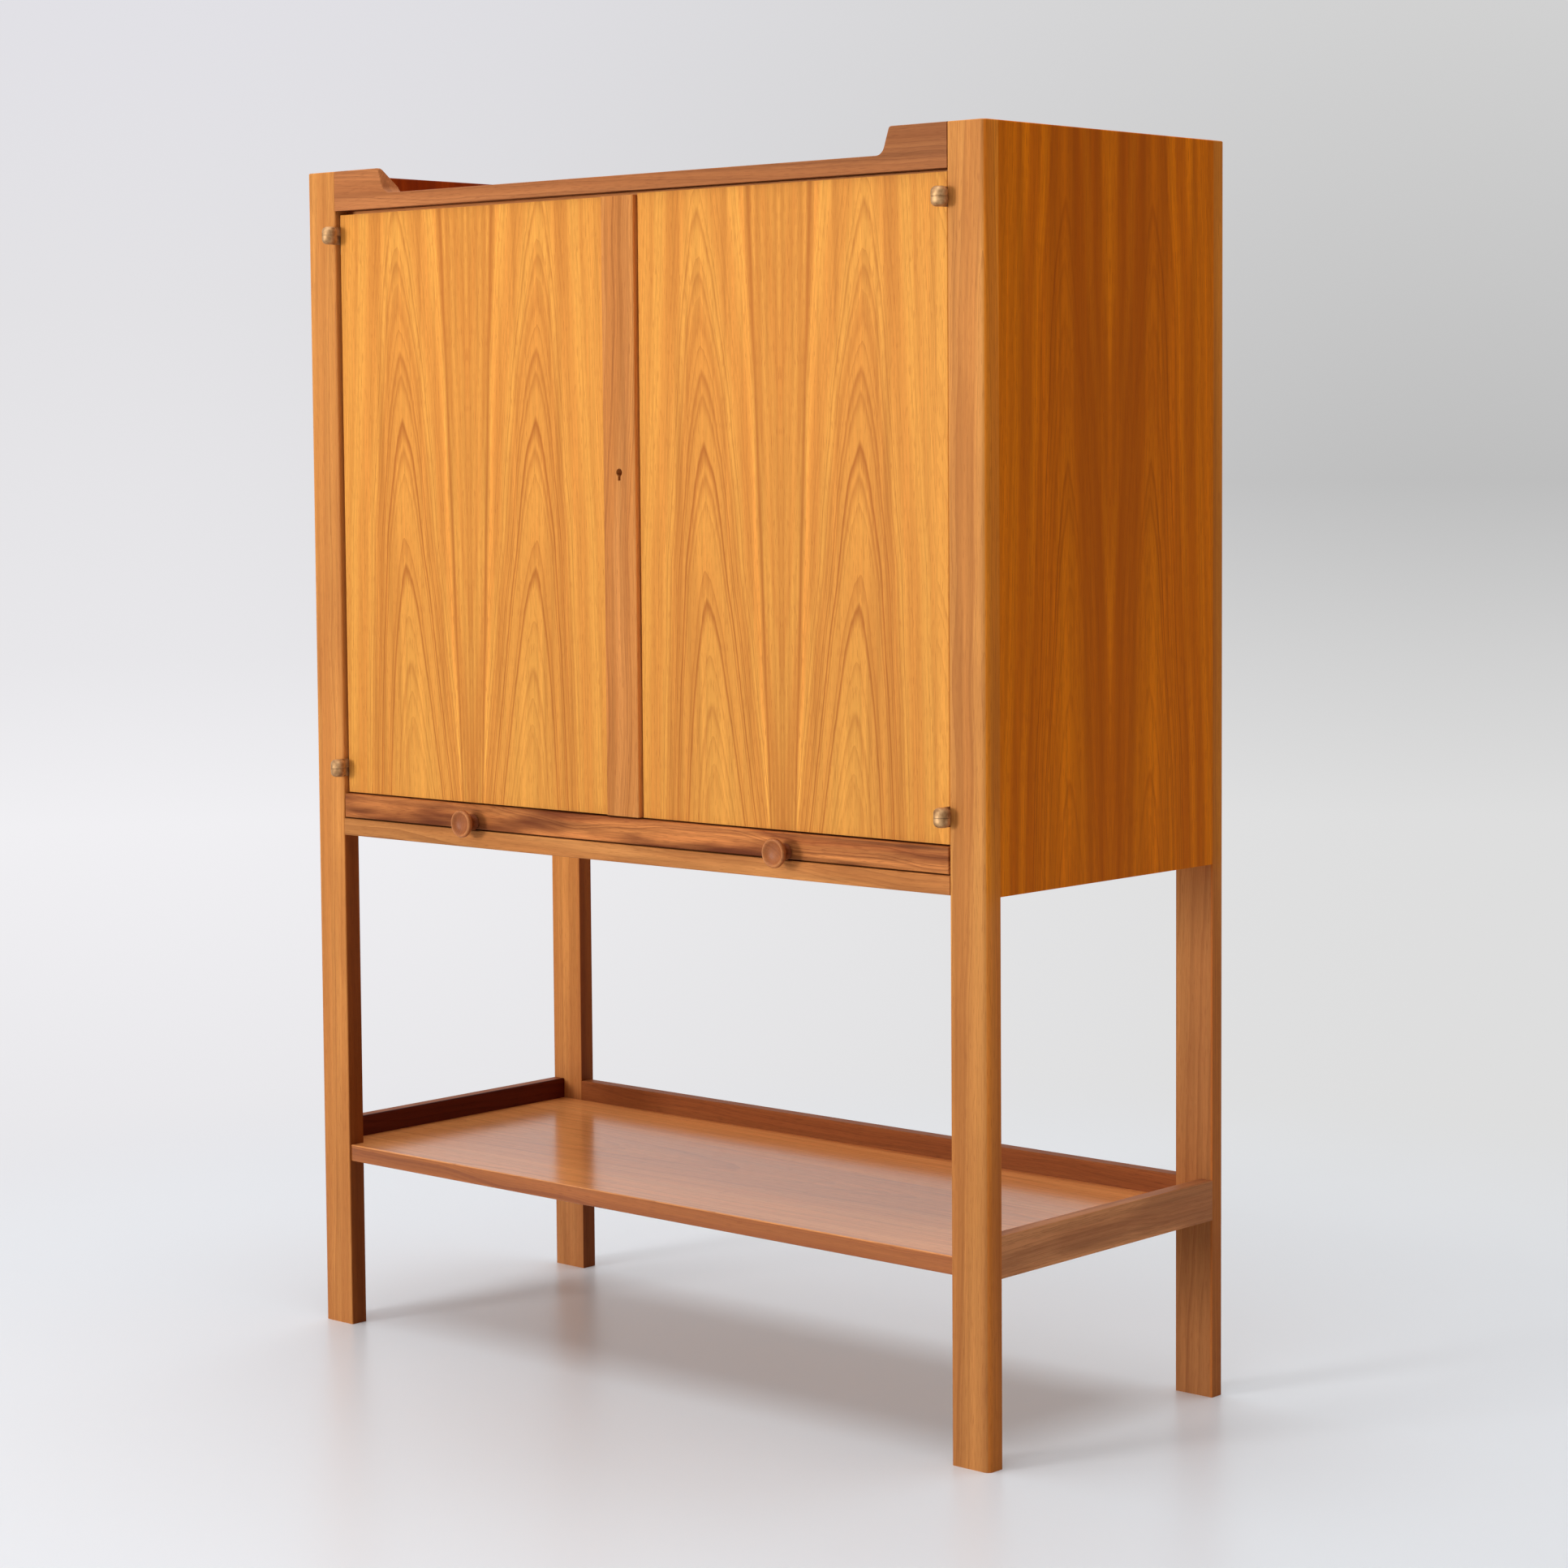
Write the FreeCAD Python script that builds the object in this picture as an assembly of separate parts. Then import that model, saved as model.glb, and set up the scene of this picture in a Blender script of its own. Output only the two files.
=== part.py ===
import FreeCAD, Part
import math
import os
from FreeCAD import Vector

# A two-door storage cabinet on four tall legs, with a pull-out slide under the doors
# and an open shelf between the legs. Millimetres, +Z up, the doors face -Y.

# Overall size, over the legs
cabinet_width = 1050.0
cabinet_depth = 420.0
cabinet_height = 1400.0

# Legs: flat rectangular posts that run from the ground to the top
leg_width = 50.0
leg_depth = 22.0
leg_edge_radius = 2.5
leg_corner_radius = 7.0

# Case between the legs
side_panel_thickness = 17.5
case_bottom_height = 602.5
case_bottom_thickness = 16.0
bottom_rail_height = 20.5
floor_board_thickness = 18.0
back_panel_thickness = 6.0
back_panel_gap = 0.5

# Top: two rails, a sunk panel behind them, and a front rail that dips between two ears,
# whose tops fall away to the back
top_rail_height = 47.0
top_rail_dip = 29.5
ear_length = 78.0
ear_slope_length = 10.0
ear_corner_radius = 4.0
ear_foot_radius = 12.0
ear_lip_thickness = 5.0
ear_bevel_drop = 22.0
top_panel_thickness = 18.0
top_panel_lap = 7.0

# Doors, set back a little from the legs
door_recess = 5.0
door_thickness = 20.0
door_stop_gap = 0.5
hinge_side_gap = 3.5
meeting_gap = 2.0
meeting_bevel = 1.2
left_door_top_gap = 5.0
right_door_top_gap = 3.5
lipping_width = 15.0
strip_width = 50.0
keyhole_rise = 39.5
keyhole_radius = 4.5
keyhole_slot_width = 4.0
keyhole_slot_drop = 9.0

# Small rounding on the edges that hands touch
edge_radius = 1.5

# Pull-out slide: a thin board behind a low front with two turned knobs
slide_front_height = 28.5
slide_front_thickness = 20.0
slide_front_gap = 1.5
slide_top_gap = 2.0
slide_board_thickness = 12.0
slide_back_gap = 48.5
runner_width = 50.0
runner_gap = 0.2
guide_gap = 0.3
batten_side_gap = 3.0
end_batten_width = 20.0
end_batten_height = 12.0
stop_batten_width = 18.0
stop_batten_height = 14.0
stop_batten_setback = 5.0

# Turned knobs with a dished face
knob_spacing = 492.0
knob_below_board = 8.5
knob_reach = 23.0
knob_radius = 16.5
knob_foot_radius = 9.5
knob_waist_radius = 7.5
knob_dish_radius = 12.5
knob_dish_depth = 4.5
knob_rim_reach_share = 0.8
knob_rim_radius_share = 0.7
knob_rim_swell_shares = (0.6, 0.8)
knob_flare_reach_share = 0.62
knob_flare_radius_share = 0.55
knob_waist_reach_share = 0.3
knob_screw_radius = 2.0
knob_screw_bite = 14.0
knob_screw_head_radius = 4.0
knob_screw_head_height = 2.5

# Cranked brass hinges with a domed knuckle in two halves
hinge_inset = 29.5
hinge_reach = 10.0
knuckle_radius = 9.0
knuckle_height = 21.0
knuckle_split = 0.4
knuckle_dome_radius = 6.0
knuckle_end_wall = 2.0
hinge_pin_radius = 2.5
hinge_pin_clearance = 0.05
leaf_thickness = 1.5
leaf_width = 11.0
leaf_height = 44.0
leaf_setback = 3.0
hinge_screw_spacing = 26.0

# Rim lock behind the meeting strip
lock_wall = 1.5
lock_depth = 11.0
lock_left_reach = 27.0
lock_edge_inset = 4.0
lock_below = 14.0
lock_lug_length = 9.0
lock_lug_width = 12.0
lock_lug_thickness = 2.0
lock_play = 0.3
drill_pin_radius = 2.5
drill_pin_reach = 5.0
drill_pin_clearance = 0.05
lever_radius = 12.0
lever_width = 2.4
lever_thickness = 3.0
lever_rest_angle = -30.0
follower_hub_radius = 6.5
lock_bolt_rise = 8.0
lock_bolt_height = 10.0
lock_bolt_thickness = 5.0
lock_bolt_setback = 3.0
lock_bolt_tail_gap = 1.5
lock_bolt_notch_width = 6.6
lock_bolt_notch_height = 6.2
lock_rib_thickness = 2.0
lock_rib_length = 17.0
strike_plate_width = 12.0
strike_plate_height = 40.0
strike_plate_thickness = 1.0
strike_plate_inset = 3.0

# Sliding bolts that hold the right door, on its inner face
door_bolt_radius = 3.0
door_bolt_length = 64.0
door_bolt_clearance = 0.05
door_bolt_side_gap = 4.0
door_bolt_end_gap = 1.5
door_bolt_travel = 10.0
bolt_socket_clearance = 0.4
bolt_plate_width = 16.0
bolt_plate_length = 50.0
bolt_plate_thickness = 1.5
bolt_plate_end_gap = 8.0
bolt_axis_height = 5.0
bolt_loop_width = 10.0
bolt_loop_length = 8.0
bolt_loop_wall = 2.0
bolt_knob_radius = 2.6
bolt_knob_height = 8.0

# Shelves inside, each on four pins
inner_shelf_thickness = 16.0
inner_shelf_setback = 20.0
inner_shelf_side_gap = 1.0
inner_shelf_back_gap = 3.0
inner_shelf_height_shares = (0.36, 0.69)
pin_radius = 2.5
pin_hole_depth = 9.0
pin_hole_clearance = 0.1
pin_reach = 9.0
pin_pad_width = 10.0
pin_pad_thickness = 2.0
pin_row_inset = 75.0
pin_hole_pitch = 32.0
pin_hole_steps = (-1, 0, 1)

# Open shelf between the legs
lower_shelf_height = 202.0
lower_shelf_thickness = 20.0
lower_shelf_setback = 2.5
shelf_rail_height = 45.0
shelf_rail_thickness = 17.5

# Dowels and screws that hold the frame together
dowel_radius = 4.0
dowel_length = 30.0
dowel_short_end = 11.0
dowel_clearance = 0.1
dowel_end_gap = 0.5
screw_radius = 1.5
screw_length = 13.0
screw_head_radius = 2.8
screw_clearance = 0.1
back_screw_length = 25.0
lug_screw_length = 14.0
edge_dowel_shares = (0.08, 0.36, 0.64, 0.92)
rail_dowel_shares = (0.27, 0.66)
board_dowel_shares = (0.12, 0.5, 0.88)
shelf_dowel_shares = (0.2, 0.5, 0.8)
back_screw_shares = (0.03, 0.25, 0.5, 0.75, 0.97)
strike_screw_shares = (0.15, 0.85)
bolt_screw_shares = (0.27, 0.73)

# A cut runs past the surface by this much, and edges are told apart to within a hair
overrun = 1.0
hair = 0.001

# Directions
RIGHT = Vector(1, 0, 0)
BACKWARD = Vector(0, 1, 0)
UP = Vector(0, 0, 1)

# Places across the width, from the middle
half_width = cabinet_width / 2
opening_half = half_width - leg_width
board_half = half_width - side_panel_thickness

# Places along the depth: the origin is midway between the knobs' faces and the back
front_reach = max(knob_reach, hinge_reach + knuckle_radius)
front_y = (front_reach - cabinet_depth) / 2
back_y = front_y + cabinet_depth
leg_back_y = front_y + leg_depth
rear_leg_y = back_y - leg_depth
door_front_y = front_y + door_recess
door_back_y = door_front_y + door_thickness
board_front_y = max(door_back_y + door_stop_gap, leg_back_y)
hinge_axis_y = front_y - hinge_reach
hinge_axis_x = opening_half - hinge_side_gap / 2

# Heights above the ground
case_panel_top_z = case_bottom_height + case_bottom_thickness
bottom_rail_top_z = case_bottom_height + bottom_rail_height
slide_low_z = bottom_rail_top_z + slide_front_gap
slide_top_z = slide_low_z + slide_front_height
slide_board_low_z = slide_top_z - slide_board_thickness
door_low_z = slide_top_z + slide_top_gap
floor_top_z = door_low_z + floor_board_thickness
top_rail_low_z = cabinet_height - top_rail_height
top_panel_top_z = top_rail_low_z + top_panel_lap
top_panel_low_z = top_panel_top_z - top_panel_thickness
left_door_top_z = top_rail_low_z - left_door_top_gap
right_door_top_z = top_rail_low_z - right_door_top_gap
shelf_top_z = lower_shelf_height + lower_shelf_thickness
shelf_rail_top_z = lower_shelf_height + shelf_rail_height
hinge_heights = (door_low_z + hinge_inset, top_rail_low_z - hinge_inset)

# The two veneered leaves are equally wide, and the strip fills what the gaps leave
door_edge_x = opening_half - hinge_side_gap
leaf_panel_width = (2 * door_edge_x - strip_width - meeting_gap) / 2
strip_left_x = leaf_panel_width - door_edge_x
strip_right_x = strip_left_x + strip_width
right_door_left_x = strip_right_x + meeting_gap
key_x = (strip_left_x + strip_right_x) / 2
key_z = (door_low_z + left_door_top_z) / 2 + keyhole_rise

pieces = {}


def block(x_pair, y_pair, z_pair):
    """A rectangular solid between two places on each axis."""
    (x_low, x_high), (y_low, y_high), (z_low, z_high) = map(sorted, (x_pair, y_pair, z_pair))
    return Part.makeBox(x_high - x_low, y_high - y_low, z_high - z_low, Vector(x_low, y_low, z_low))


def runs_along(edge, direction):
    """Whether a straight edge is parallel to a direction."""
    if len(edge.Vertexes) < 2:
        return False
    span = edge.Vertexes[1].Point - edge.Vertexes[0].Point
    return span.cross(direction).Length < hair


def round_edges(shape, radius, chosen):
    """Fillet the edges that the function 'chosen' picks."""
    return shape.makeFillet(radius, [edge for edge in shape.Edges if chosen(edge)])


def round_front(shape, radius, face_y):
    """Round every edge that lies in the front face of a piece."""
    return round_edges(shape, radius, lambda edge: edge.BoundBox.YMax < face_y + hair)


def round_top(shape, radius, face_z, direction):
    """Round the top edges of a piece that run along one direction."""
    return round_edges(
        shape, radius,
        lambda edge: edge.BoundBox.ZMin > face_z - hair and runs_along(edge, direction))


def drill(names, cutters):
    """Cut the same holes out of several pieces."""
    for name in names:
        pieces[name] = pieces[name].cut(cutters)


def countersunk_screw(point, direction, length, clearance=0.0):
    """A screw with its flat head at a point, or with a clearance the hole it sits in."""
    head_depth = screw_head_radius - screw_radius
    head = Part.makeCone(
        screw_head_radius + clearance, screw_radius + clearance, head_depth, point, direction)
    shank = Part.makeCylinder(
        screw_radius + clearance, length - head_depth + clearance,
        point + direction * head_depth, direction)
    return head.fuse(shank).removeSplitter()


def fasten(node, names, places, direction, length):
    """Put countersunk screws at some places, and drill the pieces they pass through."""
    screws = [countersunk_screw(place, direction, length) for place in places]
    holes = [countersunk_screw(place, direction, length, screw_clearance) for place in places]
    pieces.setdefault(node, []).extend(screws)
    drill(names, holes)


def dowel_joint(node, names, places, direction):
    """Put dowels across a joint face, with the short end on the side they point away from."""
    cutters = []
    for place in places:
        start = place - direction * dowel_short_end
        pieces.setdefault(node, []).append(
            Part.makeCylinder(dowel_radius, dowel_length, start, direction))
        cutters.append(Part.makeCylinder(
            dowel_radius + dowel_clearance, dowel_length + 2 * dowel_end_gap,
            start - direction * dowel_end_gap, direction))
    drill(names, cutters)


def between(low, high, share):
    """A place at a share of the way from one place to another."""
    return low + (high - low) * share


def middle(low, high):
    """The place halfway between two others."""
    return (low + high) / 2


def make_legs():
    """Four posts, well rounded at the cabinet's corner and a little at the opening."""
    places = {
        "front_left_leg": (-1, front_y), "front_right_leg": (1, front_y),
        "rear_left_leg": (-1, rear_leg_y), "rear_right_leg": (1, rear_leg_y)}
    for name, (side, low_y) in places.items():
        leg = block(
            (side * opening_half, side * half_width), (low_y, low_y + leg_depth), (0, cabinet_height))
        face_y = low_y if low_y == front_y else low_y + leg_depth
        for radius, edge_x in ((leg_edge_radius, opening_half), (leg_corner_radius, half_width)):
            leg = round_edges(
                leg, radius,
                lambda edge: runs_along(edge, UP) and abs(edge.CenterOfMass.y - face_y) < hair
                and abs(abs(edge.CenterOfMass.x) - edge_x) < hair)
        pieces[name] = round_edges(
            leg, edge_radius,
            lambda edge: edge.BoundBox.ZMin > cabinet_height - hair
            and abs(edge.CenterOfMass.y - face_y) < leg_corner_radius)


def make_case():
    """Side panels, case bottom, floor, back and the rail under the slide."""
    full_depth = (board_front_y, rear_leg_y)
    for name, side in (("left_side_panel", -1), ("right_side_panel", 1)):
        panel = block(
            (side * board_half, side * half_width), (leg_back_y, rear_leg_y),
            (case_bottom_height, cabinet_height))
        pieces[name] = round_top(panel, edge_radius, cabinet_height, BACKWARD)
    pieces["case_bottom_panel"] = block(
        (-board_half, board_half), full_depth, (case_bottom_height, case_panel_top_z))
    pieces["cabinet_floor"] = block(
        (-board_half, board_half), full_depth, (door_low_z, floor_top_z))
    rail = block(
        (-opening_half, opening_half), (front_y, board_front_y),
        (case_bottom_height, bottom_rail_top_z))
    pieces["front_bottom_rail"] = round_edges(
        rail, edge_radius,
        lambda edge: edge.BoundBox.YMax < front_y + hair and runs_along(edge, RIGHT))
    back_half = opening_half - back_panel_gap
    pieces["back_panel"] = block(
        (-back_half, back_half), (rear_leg_y, rear_leg_y + back_panel_thickness),
        (case_bottom_height, top_rail_low_z))


def make_top():
    """The dipped front rail, the plain rear rail and the sunk panel between them."""
    dip_z = cabinet_height - top_rail_dip
    ear_x = opening_half - ear_length
    foot_x = ear_x - ear_slope_length
    right_half = [
        (opening_half, top_rail_low_z), (opening_half, cabinet_height),
        (ear_x, cabinet_height), (foot_x, dip_z)]
    outline = right_half + [(-x, z) for x, z in reversed(right_half)]
    corners = [Vector(x, front_y, z) for x, z in outline + outline[:1]]
    rail = Part.Face(Part.makePolygon(corners)).extrude(BACKWARD * (board_front_y - front_y))
    for radius, corner_x in ((ear_corner_radius, ear_x), (ear_foot_radius, foot_x)):
        rail = round_edges(
            rail, radius,
            lambda edge: runs_along(edge, BACKWARD)
            and abs(abs(edge.CenterOfMass.x) - corner_x) < hair)
    rail = round_edges(
        rail, edge_radius,
        lambda edge: edge.BoundBox.YMax < front_y + hair and edge.BoundBox.ZMax > dip_z - hair
        and abs(edge.CenterOfMass.x) < opening_half - hair)
    bevel = [
        (front_y + ear_lip_thickness, cabinet_height),
        (board_front_y, cabinet_height - ear_bevel_drop), (board_front_y, cabinet_height)]
    bevel_points = [Vector(-opening_half, y, z) for y, z in bevel + bevel[:1]]
    wedge = Part.Face(Part.makePolygon(bevel_points)).extrude(RIGHT * 2 * opening_half)
    pieces["front_top_rail"] = rail.cut(wedge)
    rear = block(
        (-opening_half, opening_half), (rear_leg_y, back_y), (top_rail_low_z, cabinet_height))
    pieces["rear_top_rail"] = round_top(rear, edge_radius, cabinet_height, RIGHT)
    pieces["top_panel"] = block(
        (-board_half, board_half), (board_front_y, rear_leg_y), (top_panel_low_z, top_panel_top_z))


def make_lower_shelf():
    """The open shelf: a board with a solid front edge and a low rail on three sides."""
    height = (lower_shelf_height, shelf_top_z)
    rail_height = (lower_shelf_height, shelf_rail_top_z)
    rail_inner = half_width - shelf_rail_thickness
    pieces["lower_shelf_board"] = block(
        (-rail_inner, rail_inner), (leg_back_y, rear_leg_y), height)
    edge = block((-opening_half, opening_half), (front_y + lower_shelf_setback, leg_back_y), height)
    pieces["lower_shelf_front_edge"] = round_edges(
        edge, edge_radius,
        lambda e: e.BoundBox.YMax < front_y + lower_shelf_setback + hair and runs_along(e, RIGHT))
    for name, side in (("lower_shelf_left_rail", -1), ("lower_shelf_right_rail", 1)):
        rail = block((side * rail_inner, side * half_width), (leg_back_y, rear_leg_y), rail_height)
        pieces[name] = round_top(rail, edge_radius, shelf_rail_top_z, BACKWARD)
    back_rail = block(
        (-opening_half, opening_half), (rear_leg_y, rear_leg_y + shelf_rail_thickness), rail_height)
    pieces["lower_shelf_back_rail"] = round_top(back_rail, edge_radius, shelf_rail_top_z, RIGHT)


def make_case_dowels():
    """Dowels between the legs, the rails and panels of the case, and the boards across it."""
    boards = (
        ("case_bottom_panel", middle(case_bottom_height, case_panel_top_z)),
        ("cabinet_floor", middle(door_low_z, floor_top_z)),
        ("top_panel", middle(top_panel_low_z, top_panel_top_z)))
    front_mid_y = middle(front_y, leg_back_y)
    for side, word in ((-1, "left"), (1, "right")):
        inward = RIGHT * -side
        joint_x = side * opening_half
        front_leg = f"front_{word}_leg"
        rear_leg = f"rear_{word}_leg"
        panel = f"{word}_side_panel"
        rail_joints = (
            (front_leg, "front_top_rail", front_mid_y),
            (rear_leg, "rear_top_rail", middle(rear_leg_y, back_y)))
        for leg, rail, y in rail_joints:
            places = [
                Vector(joint_x, y, between(top_rail_low_z, cabinet_height, share))
                for share in rail_dowel_shares]
            dowel_joint("case_dowels", (leg, rail), places, inward)
        rail_place = Vector(joint_x, front_mid_y, middle(case_bottom_height, bottom_rail_top_z))
        dowel_joint("case_dowels", (front_leg, "front_bottom_rail"), [rail_place], inward)
        panel_x = side * middle(board_half, half_width)
        for leg, y, along in ((front_leg, leg_back_y, BACKWARD), (rear_leg, rear_leg_y, -BACKWARD)):
            places = [
                Vector(panel_x, y, between(case_bottom_height, cabinet_height, share))
                for share in edge_dowel_shares]
            dowel_joint("case_dowels", (leg, panel), places, along)
        for board, z in boards:
            places = [
                Vector(side * board_half, between(board_front_y, rear_leg_y, share), z)
                for share in board_dowel_shares]
            dowel_joint("case_dowels", (panel, board), places, inward)


def make_lower_shelf_dowels():
    """Dowels between the legs and the rails, the front edge and the board of the open shelf."""
    board_z = middle(lower_shelf_height, shelf_top_z)
    rail_inner = half_width - shelf_rail_thickness
    for side, word in ((-1, "left"), (1, "right")):
        inward = RIGHT * -side
        joint_x = side * opening_half
        rail = f"lower_shelf_{word}_rail"
        rail_zs = [
            between(lower_shelf_height, shelf_rail_top_z, share) for share in rail_dowel_shares]
        rail_x = side * (half_width - shelf_rail_thickness / 2)
        ends = (
            (f"front_{word}_leg", leg_back_y, BACKWARD), (f"rear_{word}_leg", rear_leg_y, -BACKWARD))
        for leg, y, along in ends:
            dowel_joint("lower_shelf_dowels", (leg, rail), [Vector(rail_x, y, z) for z in rail_zs], along)
        places = [Vector(joint_x, rear_leg_y + shelf_rail_thickness / 2, z) for z in rail_zs]
        dowel_joint(
            "lower_shelf_dowels", (f"rear_{word}_leg", "lower_shelf_back_rail"), places, inward)
        edge_place = Vector(joint_x, middle(front_y + lower_shelf_setback, leg_back_y), board_z)
        dowel_joint(
            "lower_shelf_dowels", (f"front_{word}_leg", "lower_shelf_front_edge"),
            [edge_place], inward)
        places = [
            Vector(side * rail_inner, between(leg_back_y, rear_leg_y, share), board_z)
            for share in shelf_dowel_shares]
        dowel_joint("lower_shelf_dowels", (rail, "lower_shelf_board"), places, inward)
    for rail, y, along in (
            ("lower_shelf_front_edge", leg_back_y, BACKWARD),
            ("lower_shelf_back_rail", rear_leg_y, -BACKWARD)):
        places = [
            Vector(between(-opening_half, opening_half, share), y, board_z)
            for share in shelf_dowel_shares]
        dowel_joint("lower_shelf_dowels", (rail, "lower_shelf_board"), places, along)


def make_back_screws():
    """Three rows of screws hold the back to the case bottom, the floor and the top panel."""
    rows = (
        ("case_bottom_panel", middle(case_bottom_height, case_panel_top_z)),
        ("cabinet_floor", middle(door_low_z, floor_top_z)),
        ("top_panel", middle(top_panel_low_z, top_rail_low_z)))
    for board, z in rows:
        places = [
            Vector(between(-opening_half, opening_half, share), rear_leg_y + back_panel_thickness, z)
            for share in back_screw_shares]
        fasten("back_panel_screws", ("back_panel", board), places, -BACKWARD, back_screw_length)


def make_inner_shelves():
    """Two loose shelves, each on four pins with a flat pad, and the spare pin holes."""
    shelf_half = board_half - inner_shelf_side_gap
    pins = []
    names = ("lower_inner_shelf", "upper_inner_shelf")
    for name, height_share in zip(names, inner_shelf_height_shares):
        low_z = between(floor_top_z, top_panel_low_z, height_share)
        pieces[name] = block(
            (-shelf_half, shelf_half),
            (door_back_y + inner_shelf_setback, rear_leg_y - inner_shelf_back_gap),
            (low_z, low_z + inner_shelf_thickness))
        pin_z = low_z - pin_pad_thickness - pin_radius / 2
        for side, word in ((-1, "left"), (1, "right")):
            holes = []
            for y in (front_y + pin_row_inset, back_y - pin_row_inset):
                start = Vector(side * (board_half + pin_hole_depth), y, pin_z)
                inward = RIGHT * -side
                rod = Part.makeCylinder(pin_radius, pin_hole_depth + pin_reach, start, inward)
                pad = block(
                    (side * board_half, side * (board_half - pin_reach)),
                    (y - pin_pad_width / 2, y + pin_pad_width / 2),
                    (low_z - pin_pad_thickness, low_z))
                pins.append(rod.fuse(pad).removeSplitter())
                for step in pin_hole_steps:
                    holes.append(Part.makeCylinder(
                        pin_radius + pin_hole_clearance, pin_hole_depth + overrun,
                        start + UP * (step * pin_hole_pitch), inward))
            drill((f"{word}_side_panel",), holes)
    pieces["inner_shelf_pins"] = pins


def make_slide():
    """The pull-out slide, its knobs, and the strips in the case that carry and stop it."""
    front_half = opening_half - slide_front_gap
    board_y = front_y + slide_front_thickness
    stop_y = board_front_y + stop_batten_setback
    board_back_y = rear_leg_y - slide_back_gap
    runner_top_z = slide_board_low_z - runner_gap
    batten_half = board_half - runner_width - batten_side_gap
    front = block((-front_half, front_half), (front_y, board_y), (slide_low_z, slide_top_z))
    pieces["slide_front"] = round_front(front, edge_radius, front_y)
    pieces["slide_board"] = block(
        (-front_half, front_half), (board_y, board_back_y), (slide_board_low_z, slide_top_z))
    pieces["slide_end_batten"] = block(
        (-batten_half, batten_half), (board_back_y - end_batten_width, board_back_y),
        (slide_board_low_z - end_batten_height, slide_board_low_z))
    pieces["slide_stop_batten"] = block(
        (-batten_half, batten_half), (stop_y, stop_y + stop_batten_width),
        (case_panel_top_z, case_panel_top_z + stop_batten_height))
    strip_depth = (board_front_y, rear_leg_y)
    pieces["slide_runners"] = [
        block((side * (board_half - runner_width), side * board_half), strip_depth,
              (case_panel_top_z, runner_top_z)) for side in (-1, 1)]
    pieces["slide_guides"] = [
        block((side * (front_half + guide_gap), side * board_half), strip_depth,
              (runner_top_z, door_low_z)) for side in (-1, 1)]
    knob_z = slide_board_low_z - knob_below_board
    screw_holes = []
    pieces["knob_screws"] = []
    for name, side in (("left_knob", -1), ("right_knob", 1)):
        centre = Vector(side * knob_spacing / 2, front_y, knob_z)
        head_point = centre + BACKWARD * slide_front_thickness
        shank_length = slide_front_thickness + knob_screw_bite
        shank = Part.makeCylinder(knob_screw_radius, shank_length, head_point, -BACKWARD)
        head = Part.makeCylinder(
            knob_screw_head_radius, knob_screw_head_height, head_point, BACKWARD)
        pieces["knob_screws"].append(shank.fuse(head).removeSplitter())
        hole = Part.makeCylinder(
            knob_screw_radius + screw_clearance, shank_length + screw_clearance,
            head_point, -BACKWARD)
        screw_holes.append(hole)
        pieces[name] = turned_knob(centre).cut(hole)
    drill(("slide_front",), screw_holes)


def turned_knob(centre):
    """A turned knob: a foot, a waist, a flared rim and a dished face."""
    def point(radius, reach):
        return centre + RIGHT * radius - BACKWARD * reach

    rim_reach = knob_reach * knob_rim_reach_share
    rim_radius = between(knob_dish_radius, knob_radius, knob_rim_radius_share)
    flare = point(
        between(knob_waist_radius, knob_radius, knob_flare_radius_share),
        knob_reach * knob_flare_reach_share)
    rim_swell = point(
        between(rim_radius, knob_radius, knob_rim_swell_shares[1]),
        between(rim_reach, knob_reach, knob_rim_swell_shares[0]))
    edges = [
        Part.LineSegment(point(0, 0), point(knob_foot_radius, 0)),
        Part.Arc(point(knob_foot_radius, 0),
                 point(knob_waist_radius, knob_reach * knob_waist_reach_share), flare),
        Part.LineSegment(flare, point(knob_radius, rim_reach)),
        Part.Arc(point(knob_radius, rim_reach), rim_swell, point(rim_radius, knob_reach)),
        Part.LineSegment(point(rim_radius, knob_reach), point(0, knob_reach)),
        Part.LineSegment(point(0, knob_reach), point(0, 0))]
    profile = Part.Face(Part.Wire([edge.toShape() for edge in edges]))
    dish_sphere_radius = (knob_dish_radius ** 2 + knob_dish_depth ** 2) / (2 * knob_dish_depth)
    dish = Part.makeSphere(
        dish_sphere_radius, point(0, knob_reach - knob_dish_depth + dish_sphere_radius))
    return profile.revolve(centre, BACKWARD, 360).cut(dish)


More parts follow.
